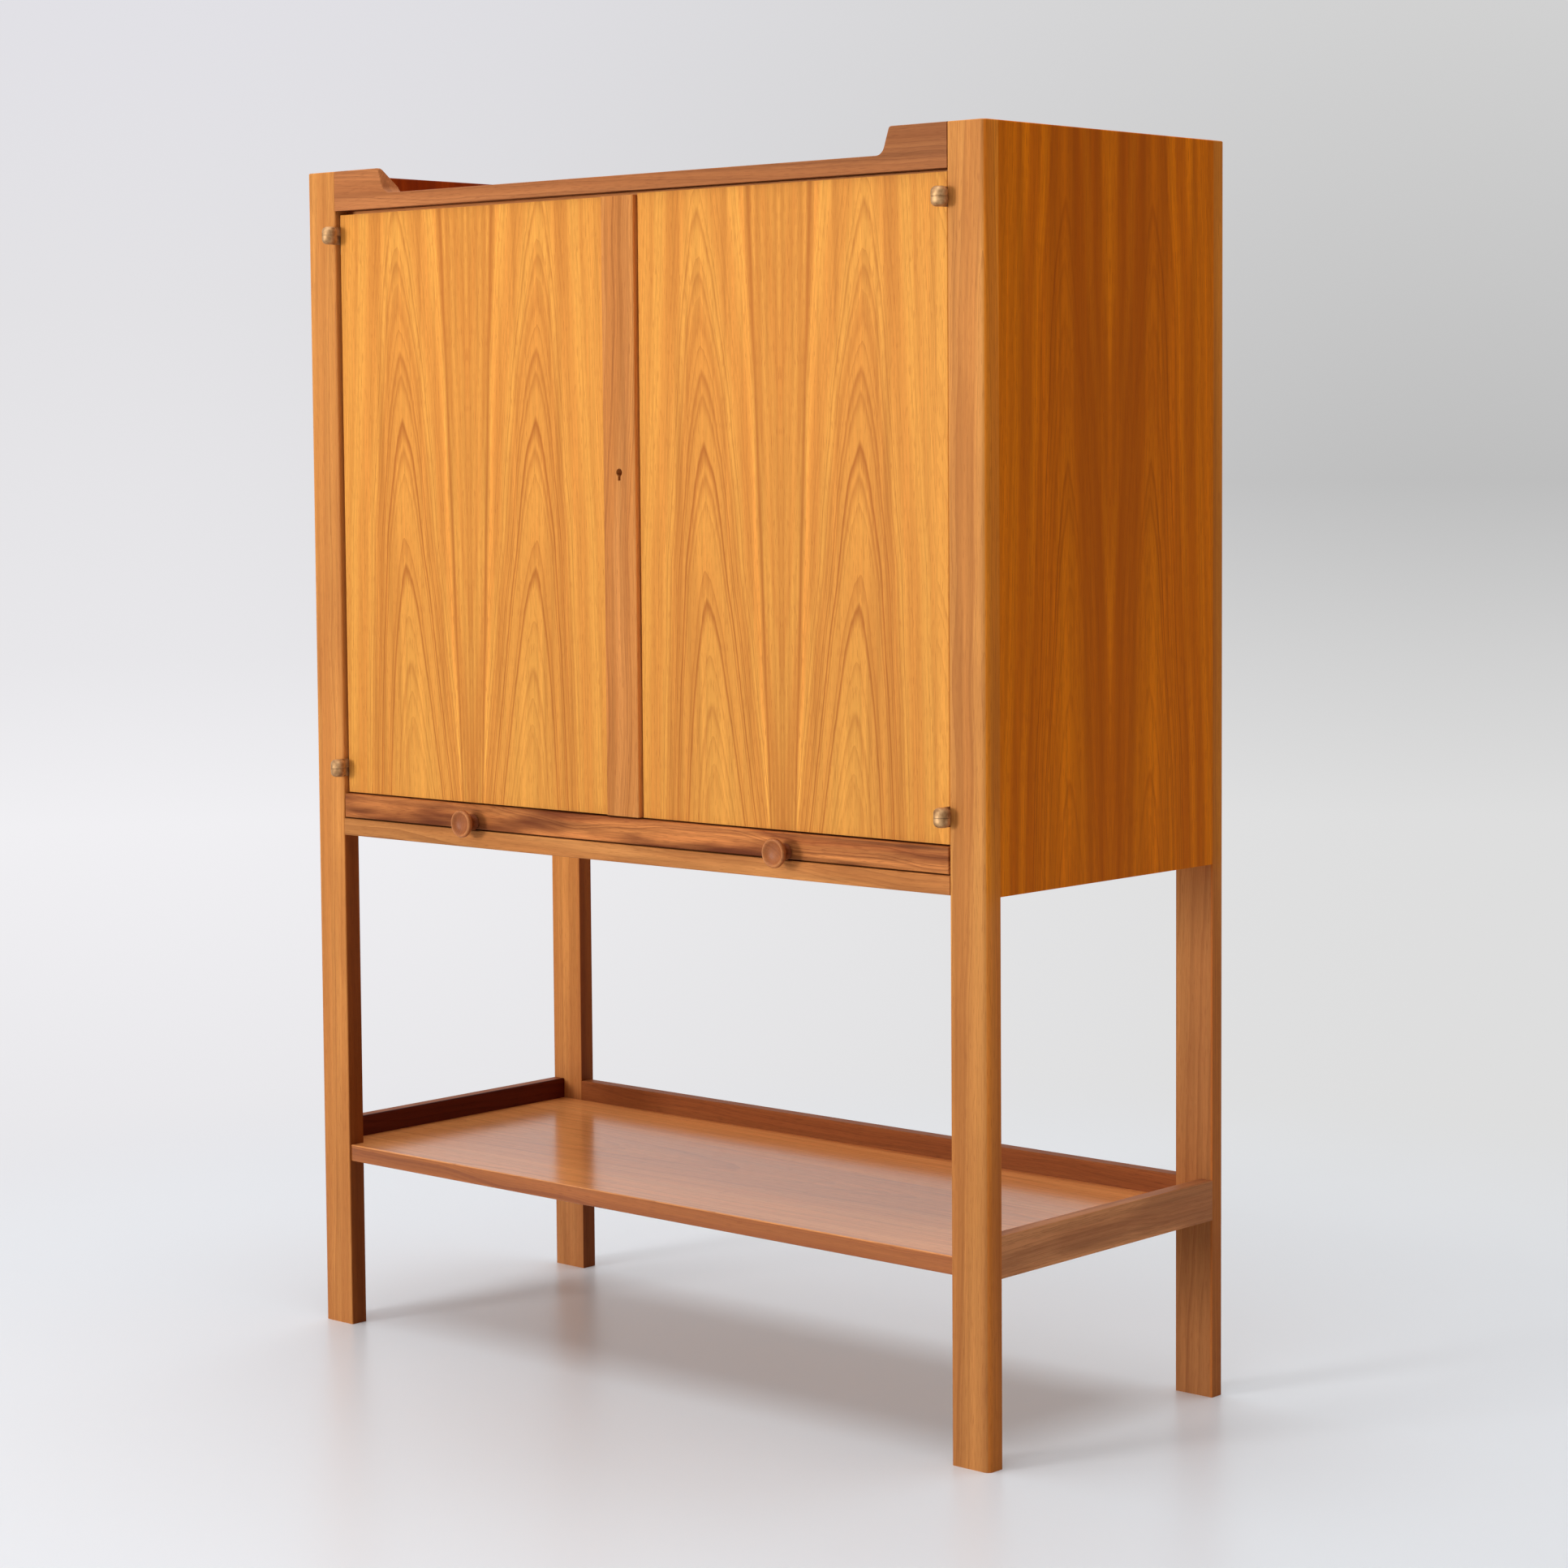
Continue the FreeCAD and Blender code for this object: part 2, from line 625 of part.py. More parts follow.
def make_doors():
    """Two veneered leaves with solid lippings, and the wide meeting strip on the left one."""
    left_height = (door_low_z, left_door_top_z)
    right_height = (door_low_z, right_door_top_z)
    depth = (door_front_y, door_back_y)
    lipping_x = door_edge_x - lipping_width
    pieces["left_door_panel"] = block((-lipping_x, strip_left_x), depth, left_height)
    pieces["right_door_panel"] = block(
        (right_door_left_x + lipping_width, lipping_x), depth, right_height)
    for name, side, height in (
            ("left_door_hinge_lipping", -1, left_height), ("right_door_hinge_lipping", 1, right_height)):
        lipping = block((side * lipping_x, side * door_edge_x), depth, height)
        pieces[name] = round_edges(
            lipping, edge_radius,
            lambda edge: runs_along(edge, UP) and edge.BoundBox.YMax < door_front_y + hair
            and abs(edge.CenterOfMass.x) > door_edge_x - hair)
    pieces["meeting_strip"] = bevelled_post(
        strip_left_x, strip_right_x, strip_right_x - meeting_bevel, front_y, left_height)
    pieces["right_door_meeting_lipping"] = bevelled_post(
        right_door_left_x + lipping_width, right_door_left_x, right_door_left_x + meeting_bevel,
        door_front_y, right_height)
    barrel = Part.makeCylinder(
        keyhole_radius, door_back_y - front_y + 2 * overrun,
        Vector(key_x, front_y - overrun, key_z), BACKWARD)
    slot = block(
        (key_x - keyhole_slot_width / 2, key_x + keyhole_slot_width / 2),
        (front_y - overrun, door_back_y + overrun),
        (key_z - keyhole_slot_drop, key_z))
    drill(("meeting_strip",), [barrel.fuse(slot)])


def bevelled_post(fixed_x, front_x, rear_x, low_y, height):
    """An upright whose meeting edge leans back, so that it clears the other door."""
    low_z, high_z = height
    corners = [(fixed_x, low_y), (front_x, low_y), (rear_x, door_back_y), (fixed_x, door_back_y)]
    base = [Vector(x, y, low_z) for x, y in corners + corners[:1]]
    post = Part.Face(Part.makePolygon(base)).extrude(UP * (high_z - low_z))
    return round_edges(
        post, edge_radius,
        lambda edge: runs_along(edge, UP) and edge.BoundBox.YMax < low_y + hair
        and (low_y < door_front_y - hair or abs(edge.CenterOfMass.x - front_x) < hair))


def knuckle_half(side, low_z, high_z, dome_z):
    """One half of a knuckle, domed at its outer end."""
    half = Part.makeCylinder(
        knuckle_radius, high_z - low_z, Vector(side * hinge_axis_x, hinge_axis_y, low_z), UP)
    return round_edges(
        half, knuckle_dome_radius,
        lambda edge: edge.BoundBox.ZLength < hair and abs(edge.BoundBox.ZMin - dome_z) < hair)


def cranked_leaf(side, inner_x, outer_x, centre_z, knuckle, knuckle_z):
    """A leaf plate with the neck that carries it out to its half of the knuckle."""
    plate_y = door_front_y + leaf_setback
    plate = block(
        (side * inner_x, side * outer_x), (plate_y, plate_y + leaf_width),
        (centre_z - leaf_height / 2, centre_z + leaf_height / 2))
    neck = block((side * inner_x, side * outer_x), (hinge_axis_y, plate_y), knuckle_z)
    return plate.fuse([neck, knuckle]).removeSplitter()


def make_hinges():
    """Four lift-off hinges: a leaf and half knuckle on the leg, and another on the door."""
    pieces["hinge_pins"] = []
    for side, word in ((-1, "left"), (1, "right")):
        frame_leaves = []
        door_leaves = []
        frame_places = []
        door_places = []
        plate_mid_y = door_front_y + leaf_setback + leaf_width / 2
        frame_face_x = opening_half - leaf_thickness
        door_face_x = door_edge_x + leaf_thickness
        for z in hinge_heights:
            low = (z - knuckle_height / 2, z - knuckle_split / 2)
            high = (z + knuckle_split / 2, z + knuckle_height / 2)
            lower_half = knuckle_half(side, *low, low[0])
            upper_half = knuckle_half(side, *high, high[1])
            pin_low_z = low[0] + knuckle_end_wall
            pin_base = Vector(side * hinge_axis_x, hinge_axis_y, pin_low_z)
            bore_length = knuckle_height - 2 * knuckle_end_wall
            bore = Part.makeCylinder(hinge_pin_radius + hinge_pin_clearance, bore_length, pin_base, UP)
            pieces["hinge_pins"].append(Part.makeCylinder(
                hinge_pin_radius, bore_length - 2 * hinge_pin_clearance, pin_base, UP))
            frame_leaf = cranked_leaf(side, frame_face_x, opening_half, z, lower_half, low)
            door_leaf = cranked_leaf(side, door_edge_x, door_face_x, z, upper_half, high)
            frame_leaves.append(frame_leaf.cut(bore))
            door_leaves.append(door_leaf.cut(bore))
            for offset in (-hinge_screw_spacing / 2, hinge_screw_spacing / 2):
                frame_places.append(Vector(side * frame_face_x, plate_mid_y, z + offset))
                door_places.append(Vector(side * door_face_x, plate_mid_y, z + offset))
        pieces[f"{word}_frame_hinge_leaves"] = Part.makeCompound(frame_leaves)
        pieces[f"{word}_door_hinge_leaves"] = Part.makeCompound(door_leaves)
        fasten("frame_hinge_screws", (f"{word}_frame_hinge_leaves", f"front_{word}_leg"),
               frame_places, RIGHT * side, screw_length)
        fasten(f"{word}_door_hinge_screws",
               (f"{word}_door_hinge_leaves", f"{word}_door_hinge_lipping"),
               door_places, RIGHT * -side, screw_length)


def make_lock():
    """A rim lock: an open-backed case with a drill pin, a follower and a straight bolt."""
    right_x = strip_right_x - lock_edge_inset
    left_x = key_x - lock_left_reach
    bolt_z = (key_z + lock_bolt_rise, key_z + lock_bolt_rise + lock_bolt_height)
    bolt_y = (
        door_back_y + lock_bolt_setback, door_back_y + lock_bolt_setback + lock_bolt_thickness)
    cover_y = door_back_y + lock_depth
    inner_y = cover_y - lock_wall
    top_z = bolt_z[1] + lock_play + lock_wall
    low_z = key_z - lock_below
    case = block((left_x, right_x), (door_back_y, cover_y), (low_z, top_z))
    cavity = block(
        (left_x + lock_wall, right_x - lock_wall), (door_back_y, inner_y),
        (low_z + lock_wall, top_z - lock_wall))
    bolt_slot = block(
        (right_x - lock_wall - overrun, right_x + overrun),
        (bolt_y[0] - lock_play, bolt_y[1] + lock_play), (bolt_z[0] - lock_play, bolt_z[1] + lock_play))
    rib = block(
        (left_x + lock_wall, left_x + lock_wall + lock_rib_length), (bolt_y[0], inner_y),
        (bolt_z[0] - lock_play - lock_rib_thickness, bolt_z[0] - lock_play))
    drill_pin = Part.makeCylinder(
        drill_pin_radius, inner_y - door_back_y + drill_pin_reach,
        Vector(key_x, inner_y, key_z), -BACKWARD)
    lug_x = (key_x - lock_lug_width / 2, key_x + lock_lug_width / 2)
    lug_y = (door_back_y, door_back_y + lock_lug_thickness)
    lugs = [
        block(lug_x, lug_y, (low_z - lock_lug_length, low_z)),
        block(lug_x, lug_y, (top_z, top_z + lock_lug_length))]
    body = case.cut([cavity, bolt_slot]).fuse([rib, drill_pin] + lugs)
    pieces["lock_case"] = body.removeSplitter()
    lug_places = [
        Vector(key_x, lug_y[1], low_z - lock_lug_length / 2),
        Vector(key_x, lug_y[1], top_z + lock_lug_length / 2)]
    fasten("lock_screws", ("lock_case", "meeting_strip"), lug_places, -BACKWARD, lug_screw_length)

    notch_x = key_x + lever_radius * math.sin(math.radians(lever_rest_angle))
    bolt = block((left_x + lock_wall + lock_bolt_tail_gap, right_x), bolt_y, bolt_z)
    notch = block(
        (notch_x - lock_bolt_notch_width / 2, notch_x + lock_bolt_notch_width / 2),
        (bolt_y[0] - overrun, bolt_y[1] + overrun),
        (bolt_z[0] - overrun, bolt_z[0] + lock_bolt_notch_height))
    pieces["lock_bolt"] = bolt.cut(notch)

    hub_y = (door_back_y + lock_wall / 2, inner_y - lock_wall / 2)
    hub = Part.makeCylinder(
        follower_hub_radius, hub_y[1] - hub_y[0], Vector(key_x, hub_y[0], key_z), BACKWARD)
    lever_y = (bolt_y[0] + bolt_y[1] - lever_thickness) / 2
    arm = block(
        (key_x - lever_width / 2, key_x + lever_width / 2), (lever_y, lever_y + lever_thickness),
        (key_z, key_z + lever_radius))
    tip = Part.makeCylinder(
        lever_width / 2, lever_thickness,
        Vector(key_x, lever_y, key_z + lever_radius), BACKWARD)
    lever = arm.fuse(tip)
    lever.rotate(Vector(key_x, 0, key_z), BACKWARD, lever_rest_angle)
    bore = Part.makeCylinder(
        drill_pin_radius + drill_pin_clearance, lock_depth + 2 * overrun,
        Vector(key_x, door_back_y - overrun, key_z), BACKWARD)
    key_slot = block(
        (key_x - keyhole_slot_width / 2, key_x + keyhole_slot_width / 2),
        (hub_y[0] - overrun, lever_y - lock_play),
        (key_z - keyhole_slot_drop, key_z))
    pieces["lock_follower"] = hub.fuse(lever).cut([bore, key_slot]).removeSplitter()

    plate_x = (right_door_left_x + strike_plate_inset,
               right_door_left_x + strike_plate_inset + strike_plate_width)
    plate_mid_z = middle(*bolt_z)
    plate_z = (plate_mid_z - strike_plate_height / 2, plate_mid_z + strike_plate_height / 2)
    plate_back_y = door_back_y + strike_plate_thickness
    pieces["strike_plate"] = block(plate_x, (door_back_y, plate_back_y), plate_z)
    places = [
        Vector(middle(*plate_x), plate_back_y, between(*plate_z, share))
        for share in strike_screw_shares]
    fasten(
        "strike_plate_screws",
        ("strike_plate", "right_door_meeting_lipping", "right_door_panel"),
        places, -BACKWARD, screw_length)


def make_door_bolts():
    """A sliding bolt at the top and one at the bottom of the right door's inner face."""
    strike_plate_right_x = right_door_left_x + strike_plate_inset + strike_plate_width
    bolt_x = strike_plate_right_x + door_bolt_side_gap + bolt_plate_width / 2
    axis_y = door_back_y + bolt_plate_thickness + bolt_axis_height
    ends = (("upper", top_panel_low_z, -1, "top_panel"), ("lower", floor_top_z, 1, "cabinet_floor"))
    for word, board_z, inward, board in ends:
        tip_z = board_z + inward * door_bolt_end_gap
        tail_z = tip_z + inward * door_bolt_length
        plate_tip_z = tip_z + inward * bolt_plate_end_gap
        plate_tail_z = plate_tip_z + inward * bolt_plate_length
        plate = block(
            (bolt_x - bolt_plate_width / 2, bolt_x + bolt_plate_width / 2),
            (door_back_y, door_back_y + bolt_plate_thickness), (plate_tip_z, plate_tail_z))
        loops = [
            block((bolt_x - bolt_loop_width / 2, bolt_x + bolt_loop_width / 2),
                  (door_back_y + bolt_plate_thickness, axis_y + door_bolt_radius + bolt_loop_wall),
                  (start_z, start_z + direction * bolt_loop_length))
            for start_z, direction in ((plate_tip_z, inward), (plate_tail_z, -inward))]
        low_z = min(tip_z, tail_z)
        bore = Part.makeCylinder(
            door_bolt_radius + door_bolt_clearance, door_bolt_length,
            Vector(bolt_x, axis_y, low_z), UP)
        pieces[f"{word}_bolt_keeper"] = plate.fuse(loops).cut(bore).removeSplitter()
        rod = Part.makeCylinder(
            door_bolt_radius, door_bolt_length, Vector(bolt_x, axis_y, low_z), UP)
        knob_z = middle(plate_tip_z, plate_tail_z) + inward * door_bolt_travel / 2
        knob = Part.makeCylinder(
            bolt_knob_radius, door_bolt_radius + bolt_knob_height,
            Vector(bolt_x, axis_y, knob_z), BACKWARD)
        pieces[f"{word}_door_bolt"] = rod.fuse(knob).removeSplitter()
        socket_length = door_bolt_travel + overrun
        socket_low_z = board_z if inward < 0 else board_z - socket_length
        socket = Part.makeCylinder(
            door_bolt_radius + bolt_socket_clearance, socket_length,
            Vector(bolt_x, axis_y, socket_low_z), UP)
        drill((board,), [socket])
        places = [
            Vector(bolt_x, door_back_y + bolt_plate_thickness, between(plate_tip_z, plate_tail_z, share))
            for share in bolt_screw_shares]
        fasten("door_bolt_screws", (f"{word}_bolt_keeper", "right_door_panel"),
               places, -BACKWARD, screw_length)


def write_parts():
    """Write one STEP file for each named piece."""
    os.makedirs("parts", exist_ok=True)
    for name, piece in sorted(pieces.items()):
        solids = [s for item in (piece if isinstance(piece, list) else [piece]) for s in item.Solids]
        whole = solids[0] if len(solids) == 1 else Part.makeCompound(solids)
        whole.exportStep(f"parts/{name}.step")
        print(f"{name}: {len(solids)} solid(s), {sum(s.Volume for s in solids) / 1000:.1f} cm3")


make_legs()
make_case()
make_top()
make_lower_shelf()
make_case_dowels()
make_lower_shelf_dowels()
make_back_screws()
make_inner_shelves()
make_slide()
make_doors()
make_hinges()
make_lock()
make_door_bolts()
write_parts()
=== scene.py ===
# %% [markdown]
# # A storage cabinet in wood and brass
#
# This lesson dresses a finished cabinet model for its portrait. The cabinet is made elsewhere, to
# real sizes, and it arrives here as fixed pieces: legs, panels, doors, a pull-out slide and their
# fittings. The work here is what a photographer and a finisher do: the floor and the lamps, the
# camera, the figure of the wood, the sheen of the brass, and two turned knobs whose soft profile
# deserves a finer mesh.

import math

import bmesh
import bpy
from mathutils import Matrix, Vector


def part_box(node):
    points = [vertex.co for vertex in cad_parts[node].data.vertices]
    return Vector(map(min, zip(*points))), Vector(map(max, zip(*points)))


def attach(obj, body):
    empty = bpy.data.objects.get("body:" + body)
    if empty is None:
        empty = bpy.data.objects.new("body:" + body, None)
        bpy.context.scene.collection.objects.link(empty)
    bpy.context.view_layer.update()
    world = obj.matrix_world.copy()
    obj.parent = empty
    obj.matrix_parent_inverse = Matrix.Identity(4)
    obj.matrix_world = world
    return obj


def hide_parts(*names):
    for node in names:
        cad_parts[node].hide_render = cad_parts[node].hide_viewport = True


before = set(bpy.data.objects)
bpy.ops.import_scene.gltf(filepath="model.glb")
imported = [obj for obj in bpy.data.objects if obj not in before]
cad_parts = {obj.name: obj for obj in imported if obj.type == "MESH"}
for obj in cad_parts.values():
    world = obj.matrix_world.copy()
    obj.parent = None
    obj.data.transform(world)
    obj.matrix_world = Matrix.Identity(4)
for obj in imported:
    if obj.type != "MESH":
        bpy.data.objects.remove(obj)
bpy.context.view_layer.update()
print("pieces loaded:", len(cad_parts))

# %% [markdown]
# ## Measures and colours
#
# Everything is in metres, so a small helper turns millimetres into metres. Colours are easier to
# judge as the numbers that a picture shows, from 0 to 255, but the shader works on light. Each
# colour is therefore written as it should look, and turned into light here once.

# %% Units and colours
MM = 0.001


def colour(red, green, blue):
    """A colour as a picture shows it, turned into the light that the shader works on."""
    def to_light(value):
        share = value / 255
        return share / 12.92 if share <= 0.04045 else ((share + 0.055) / 1.055) ** 2.4
    return (to_light(red), to_light(green), to_light(blue), 1.0)


print("mid grey as light:", round(colour(128, 128, 128)[0], 3))

# %% [markdown]
# ## The camera
#
# The portrait is taken from the right front corner, a little below the top of the cabinet, with a
# long lens, so the uprights stay almost upright. Blender's camera looks along its own -Z, so the
# three directions of the view are written as the columns of its matrix. The small shift keeps the
# cabinet where the picture has it in the frame, as a view camera's sliding back would.

# %% Camera
PICTURE_SIZE = 1932
FOCAL_LENGTH_PIXELS = 4502.6
CENTRE_PIXEL = (985.75, 872.88)
CAMERA_PLACE = Vector((2.8797, -3.1093, 1.0749))
CAMERA_YAW = 0.7313
CAMERA_PITCH = 0.0731
CAMERA_ROLL = 0.0071
SENSOR_WIDTH = 36.0


def camera_matrix(place, yaw, pitch, roll):
    """The camera's place and its three directions, right, up and backwards. Angles in radians."""
    forward = Vector((-math.sin(yaw) * math.cos(pitch), math.cos(yaw) * math.cos(pitch),
                      -math.sin(pitch)))
    level = Vector((math.cos(yaw), math.sin(yaw), 0))
    down = forward.cross(level)
    right = math.cos(roll) * level + math.sin(roll) * down
    up = math.sin(roll) * level - math.cos(roll) * down
    turn = Matrix((right, up, -forward)).transposed().to_4x4()
    return Matrix.Translation(place) @ turn


lens = bpy.data.cameras.new("portrait_camera")
lens.sensor_width = SENSOR_WIDTH
lens.lens = SENSOR_WIDTH * FOCAL_LENGTH_PIXELS / PICTURE_SIZE
lens.shift_x = (PICTURE_SIZE / 2 - CENTRE_PIXEL[0]) / PICTURE_SIZE
lens.shift_y = (CENTRE_PIXEL[1] - PICTURE_SIZE / 2) / PICTURE_SIZE
camera = bpy.data.objects.new("portrait_camera", lens)
camera.matrix_world = camera_matrix(CAMERA_PLACE, CAMERA_YAW, CAMERA_PITCH, CAMERA_ROLL)
bpy.context.scene.collection.objects.link(camera)
bpy.context.scene.camera = camera
bpy.context.scene.view_settings.view_transform = "Standard"
print("focal length:", round(lens.lens, 1), "mm")

# %% [markdown]
# ## A short way to add nodes
#
# A finish is a small graph of nodes. Adding them by hand takes many lines, so one helper fills or
# links a socket, one adds a whole node, and three do a step of arithmetic. All of them take plain
# numbers and other nodes' outputs alike. A value that is the same all over a surface is set on the
# socket itself, because then it also survives in an exported model.

# %% Helpers that add nodes


def plug(tree, socket, value):
    """Link the socket to another node's output, or write a plain value into it."""
    if isinstance(value, bpy.types.NodeSocket):
        tree.links.new(value, socket)
    else:
        socket.default_value = value


def add_node(tree, kind, settings=None, **sockets):
    """Add a node, change its settings, and fill or link the sockets that are named."""
    node = tree.nodes.new(kind)
    for key, value in (settings or {}).items():
        setattr(node, key, value)
    for key, value in sockets.items():
        plug(tree, node.inputs[key.replace("_", " ")], value)
    return node


def maths(tree, operation, *values):
    """One step of arithmetic on numbers and outputs."""
    node = add_node(tree, "ShaderNodeMath", {"operation": operation})
    for socket, value in zip(node.inputs, values):
        plug(tree, socket, value)
    return node.outputs[0]


def vector_maths(tree, operation, *values):
    """One step of arithmetic on directions or places, as a node with all its outputs."""
    node = add_node(tree, "ShaderNodeVectorMath", {"operation": operation})
    for socket, value in zip(node.inputs, values):
        plug(tree, socket, value)
    return node


def scaled(tree, value, by, plus):
    """A value made larger or smaller, with another value or number added."""
    return maths(tree, "MULTIPLY_ADD", value, by, plus)


print("node helpers ready")

# %% [markdown]
# ## Colours in nodes
#
# Three helpers carry colour: a ramp turns a number into a colour, a blend mixes or multiplies two
# colours, and a grey stands for a neutral level. The last helper starts a finish: an empty material
# with Blender's all-purpose shader. A Mix node holds a set of sockets for each kind of data. For
# colours, socket 0 is the factor, 6 and 7 are the two colours, and the result leaves at output 2.

# %% Colour nodes and empty finishes


def grey(value):
    """A neutral colour of a given light."""
    return (value, value, value, 1.0)


def ramp(tree, factor, stops):
    """A colour ramp with the given places and colours."""
    node = tree.nodes.new("ShaderNodeValToRGB")
    tree.links.new(factor, node.inputs["Fac"])
    elements = node.color_ramp.elements
    while len(elements) < len(stops):
        elements.new(0.5)
    for element, (place, tone) in zip(elements, stops):
        element.position = place
        element.color = tone
    return node.outputs["Color"]


def blend(tree, factor, first, second, mode="MIX"):
    """Blend two colours by a factor."""
    node = add_node(tree, "ShaderNodeMix",
                    {"data_type": "RGBA", "blend_type": mode, "clamp_factor": True})
    for number, value in ((0, factor), (6, first), (7, second)):
        plug(tree, node.inputs[number], value)
    return node.outputs[2]


def new_finish(name):
    """An empty material with its shader, ready for nodes."""
    finish = bpy.data.materials.new(name)
    finish.use_nodes = True
    return finish, finish.node_tree, finish.node_tree.nodes["Principled BSDF"]


print("colour helpers ready")

# %% [markdown]
# ## The backdrop
#
# The portrait has a grey backdrop with no visible corner, lighter on the left and just above the
# floor. A wall would hide the cabinet in a view from behind, so there is none. Instead, colour
# follows direction: one ramp runs from low to high for each side of the picture, and a blend goes
# from one to the other. The world and the far floor both use it, so they meet without an edge.

# %% Backdrop colours
LOWEST_LOOK, HIGHEST_LOOK = -0.30, 0.15
SIDEWAYS_LOOK = 0.19

# Places along a ramp run from 0 at the lowest look to 1 at the highest.
# Painted light and shade: the backdrop is lighter on the left and darker on the right.
BACKDROP_LEFT = ((0.0, colour(230, 229, 231)), (0.24, colour(232, 231, 234)),
                 (0.44, colour(241, 240, 243)), (0.54, colour(232, 231, 234)),
                 (0.75, colour(227, 226, 229)), (0.92, colour(226, 225, 230)))
BACKDROP_RIGHT = ((0.0, colour(219, 217, 218)), (0.24, colour(222, 222, 222)),
                  (0.44, colour(222, 222, 222)), (0.54, colour(208, 208, 208)),
                  (0.64, colour(190, 190, 190)), (0.84, colour(204, 204, 204)),
                  (0.92, colour(209, 209, 209)))


def backdrop_colour(tree, direction):
    """The backdrop's colour in a direction."""
    rightwards = (math.cos(CAMERA_YAW), math.sin(CAMERA_YAW), 0)
    across = vector_maths(tree, "DOT_PRODUCT", direction, rightwards).outputs["Value"]
    share = add_node(tree, "ShaderNodeMapRange", {"interpolation_type": "SMOOTHSTEP"},
                     Value=across, From_Min=-SIDEWAYS_LOOK, From_Max=SIDEWAYS_LOOK)
    height = add_node(tree, "ShaderNodeSeparateXYZ", Vector=direction).outputs["Z"]
    level = add_node(tree, "ShaderNodeMapRange", Value=height, From_Min=LOWEST_LOOK,
                     From_Max=HIGHEST_LOOK).outputs["Result"]
    return blend(tree, share.outputs["Result"], ramp(tree, level, BACKDROP_LEFT),
                 ramp(tree, level, BACKDROP_RIGHT))


print("backdrop colours:", len(BACKDROP_LEFT) + len(BACKDROP_RIGHT))

# %% [markdown]
# ## The studio's own light
#
# The world does two jobs, and the Light Path node tells them apart. Rays that show something,
# straight to the camera, in a gloss or through glass, meet the backdrop. Rays that only carry
# light find a studio that is brighter on the left than on the right, which gives the doors more
# light than the cabinet's right side.

# %% World
LEFT_SKY = 0.54
RIGHT_SKY = 0.19
SKY_REACH = 0.7


def shown_share(tree):
    """1 for rays that show the backdrop, straight or in a gloss, and 0 for those that light."""
    rays = add_node(tree, "ShaderNodeLightPath").outputs
    shiny = maths(tree, "MAXIMUM", rays["Is Glossy Ray"], rays["Is Transmission Ray"])
    return maths(tree, "MAXIMUM", rays["Is Camera Ray"], shiny)


world = bpy.data.worlds.new("studio")
bpy.context.scene.world = world
world.use_nodes = True
sky = world.node_tree
sky.nodes.clear()
sky_place = add_node(sky, "ShaderNodeTexCoord").outputs["Generated"]
sideways = add_node(sky, "ShaderNodeMapRange", {"interpolation_type": "SMOOTHSTEP"},
                    Value=add_node(sky, "ShaderNodeSeparateXYZ", Vector=sky_place).outputs["X"],
                    From_Min=-SKY_REACH, From_Max=SKY_REACH, To_Min=LEFT_SKY, To_Max=RIGHT_SKY)
lit = add_node(sky, "ShaderNodeBackground", Color=grey(1.0), Strength=sideways.outputs["Result"])
shown = add_node(sky, "ShaderNodeBackground", Strength=1.0, Color=backdrop_colour(sky, sky_place))
either = add_node(sky, "ShaderNodeMixShader", Fac=shown_share(sky))
sky.links.new(lit.outputs[0], either.inputs[1])
sky.links.new(shown.outputs[0], either.inputs[2])
add_node(sky, "ShaderNodeOutputWorld", Surface=either.outputs[0])
print("sky from left to right:", LEFT_SKY, RIGHT_SKY)

# %% [markdown]
# ## The floor
#
# The cabinet stands on pale, slightly shiny paint, which holds its shadow and a faint reflection
# of the feet. A wide disc is enough for a floor. Further out its paint fades into a glow of the
# backdrop's colour. The glow's direction is measured from a fixed point in the room, the place
# from which the portrait is taken, so that there the floor meets the world without an edge.

# %% Floor
FLOOR_COLOUR = colour(230, 234, 239)
FLOOR_RADIUS = 40.0
FADE_START, FADE_END = 0.9, 2.0

floor_mesh = bmesh.new()
bmesh.ops.create_circle(floor_mesh, cap_ends=True, radius=FLOOR_RADIUS, segments=96)
floor_data = bpy.data.meshes.new("studio_floor")
floor_mesh.to_mesh(floor_data)
floor_mesh.free()
floor = bpy.data.objects.new("studio_floor", floor_data)
bpy.context.scene.collection.objects.link(floor)

floor_finish, tree, shader = new_finish("floor_paint")
shader.inputs["Base Color"].default_value = FLOOR_COLOUR
shader.inputs["Roughness"].default_value = 0.32
shader.inputs["Specular IOR Level"].default_value = 0.42
place = add_node(tree, "ShaderNodeTexCoord").outputs["Object"]
fade = add_node(tree, "ShaderNodeMapRange", {"interpolation_type": "SMOOTHSTEP"},
                Value=vector_maths(tree, "LENGTH", place).outputs["Value"],
                From_Min=FADE_START, From_Max=FADE_END).outputs["Result"]
from_camera = vector_maths(tree, "SUBTRACT", place, CAMERA_PLACE).outputs["Vector"]
look = vector_maths(tree, "NORMALIZE", from_camera).outputs["Vector"]
glow = add_node(tree, "ShaderNodeEmission", Strength=1.0, Color=backdrop_colour(tree, look))
floor_mix = add_node(tree, "ShaderNodeMixShader",
                     Fac=maths(tree, "MULTIPLY", fade, shown_share(tree)))
tree.links.new(shader.outputs[0], floor_mix.inputs[1])
tree.links.new(glow.outputs[0], floor_mix.inputs[2])
tree.links.new(floor_mix.outputs[0], tree.nodes["Material Output"].inputs["Surface"])
floor_data.materials.append(floor_finish)
print("floor radius:", FLOOR_RADIUS)

# %% [markdown]
# ## The lamps
#
# A broad lamp in front and a larger one overhead do most of the work, so the faces under the case
# stay dark and the shadow lies under the cabinet. Light thins with the square of the distance, so
# each lamp's power is worked out from its distance, and the share that it adds is what is written.

# %% Lamps
AIM = Vector((0, 0, 0.8))


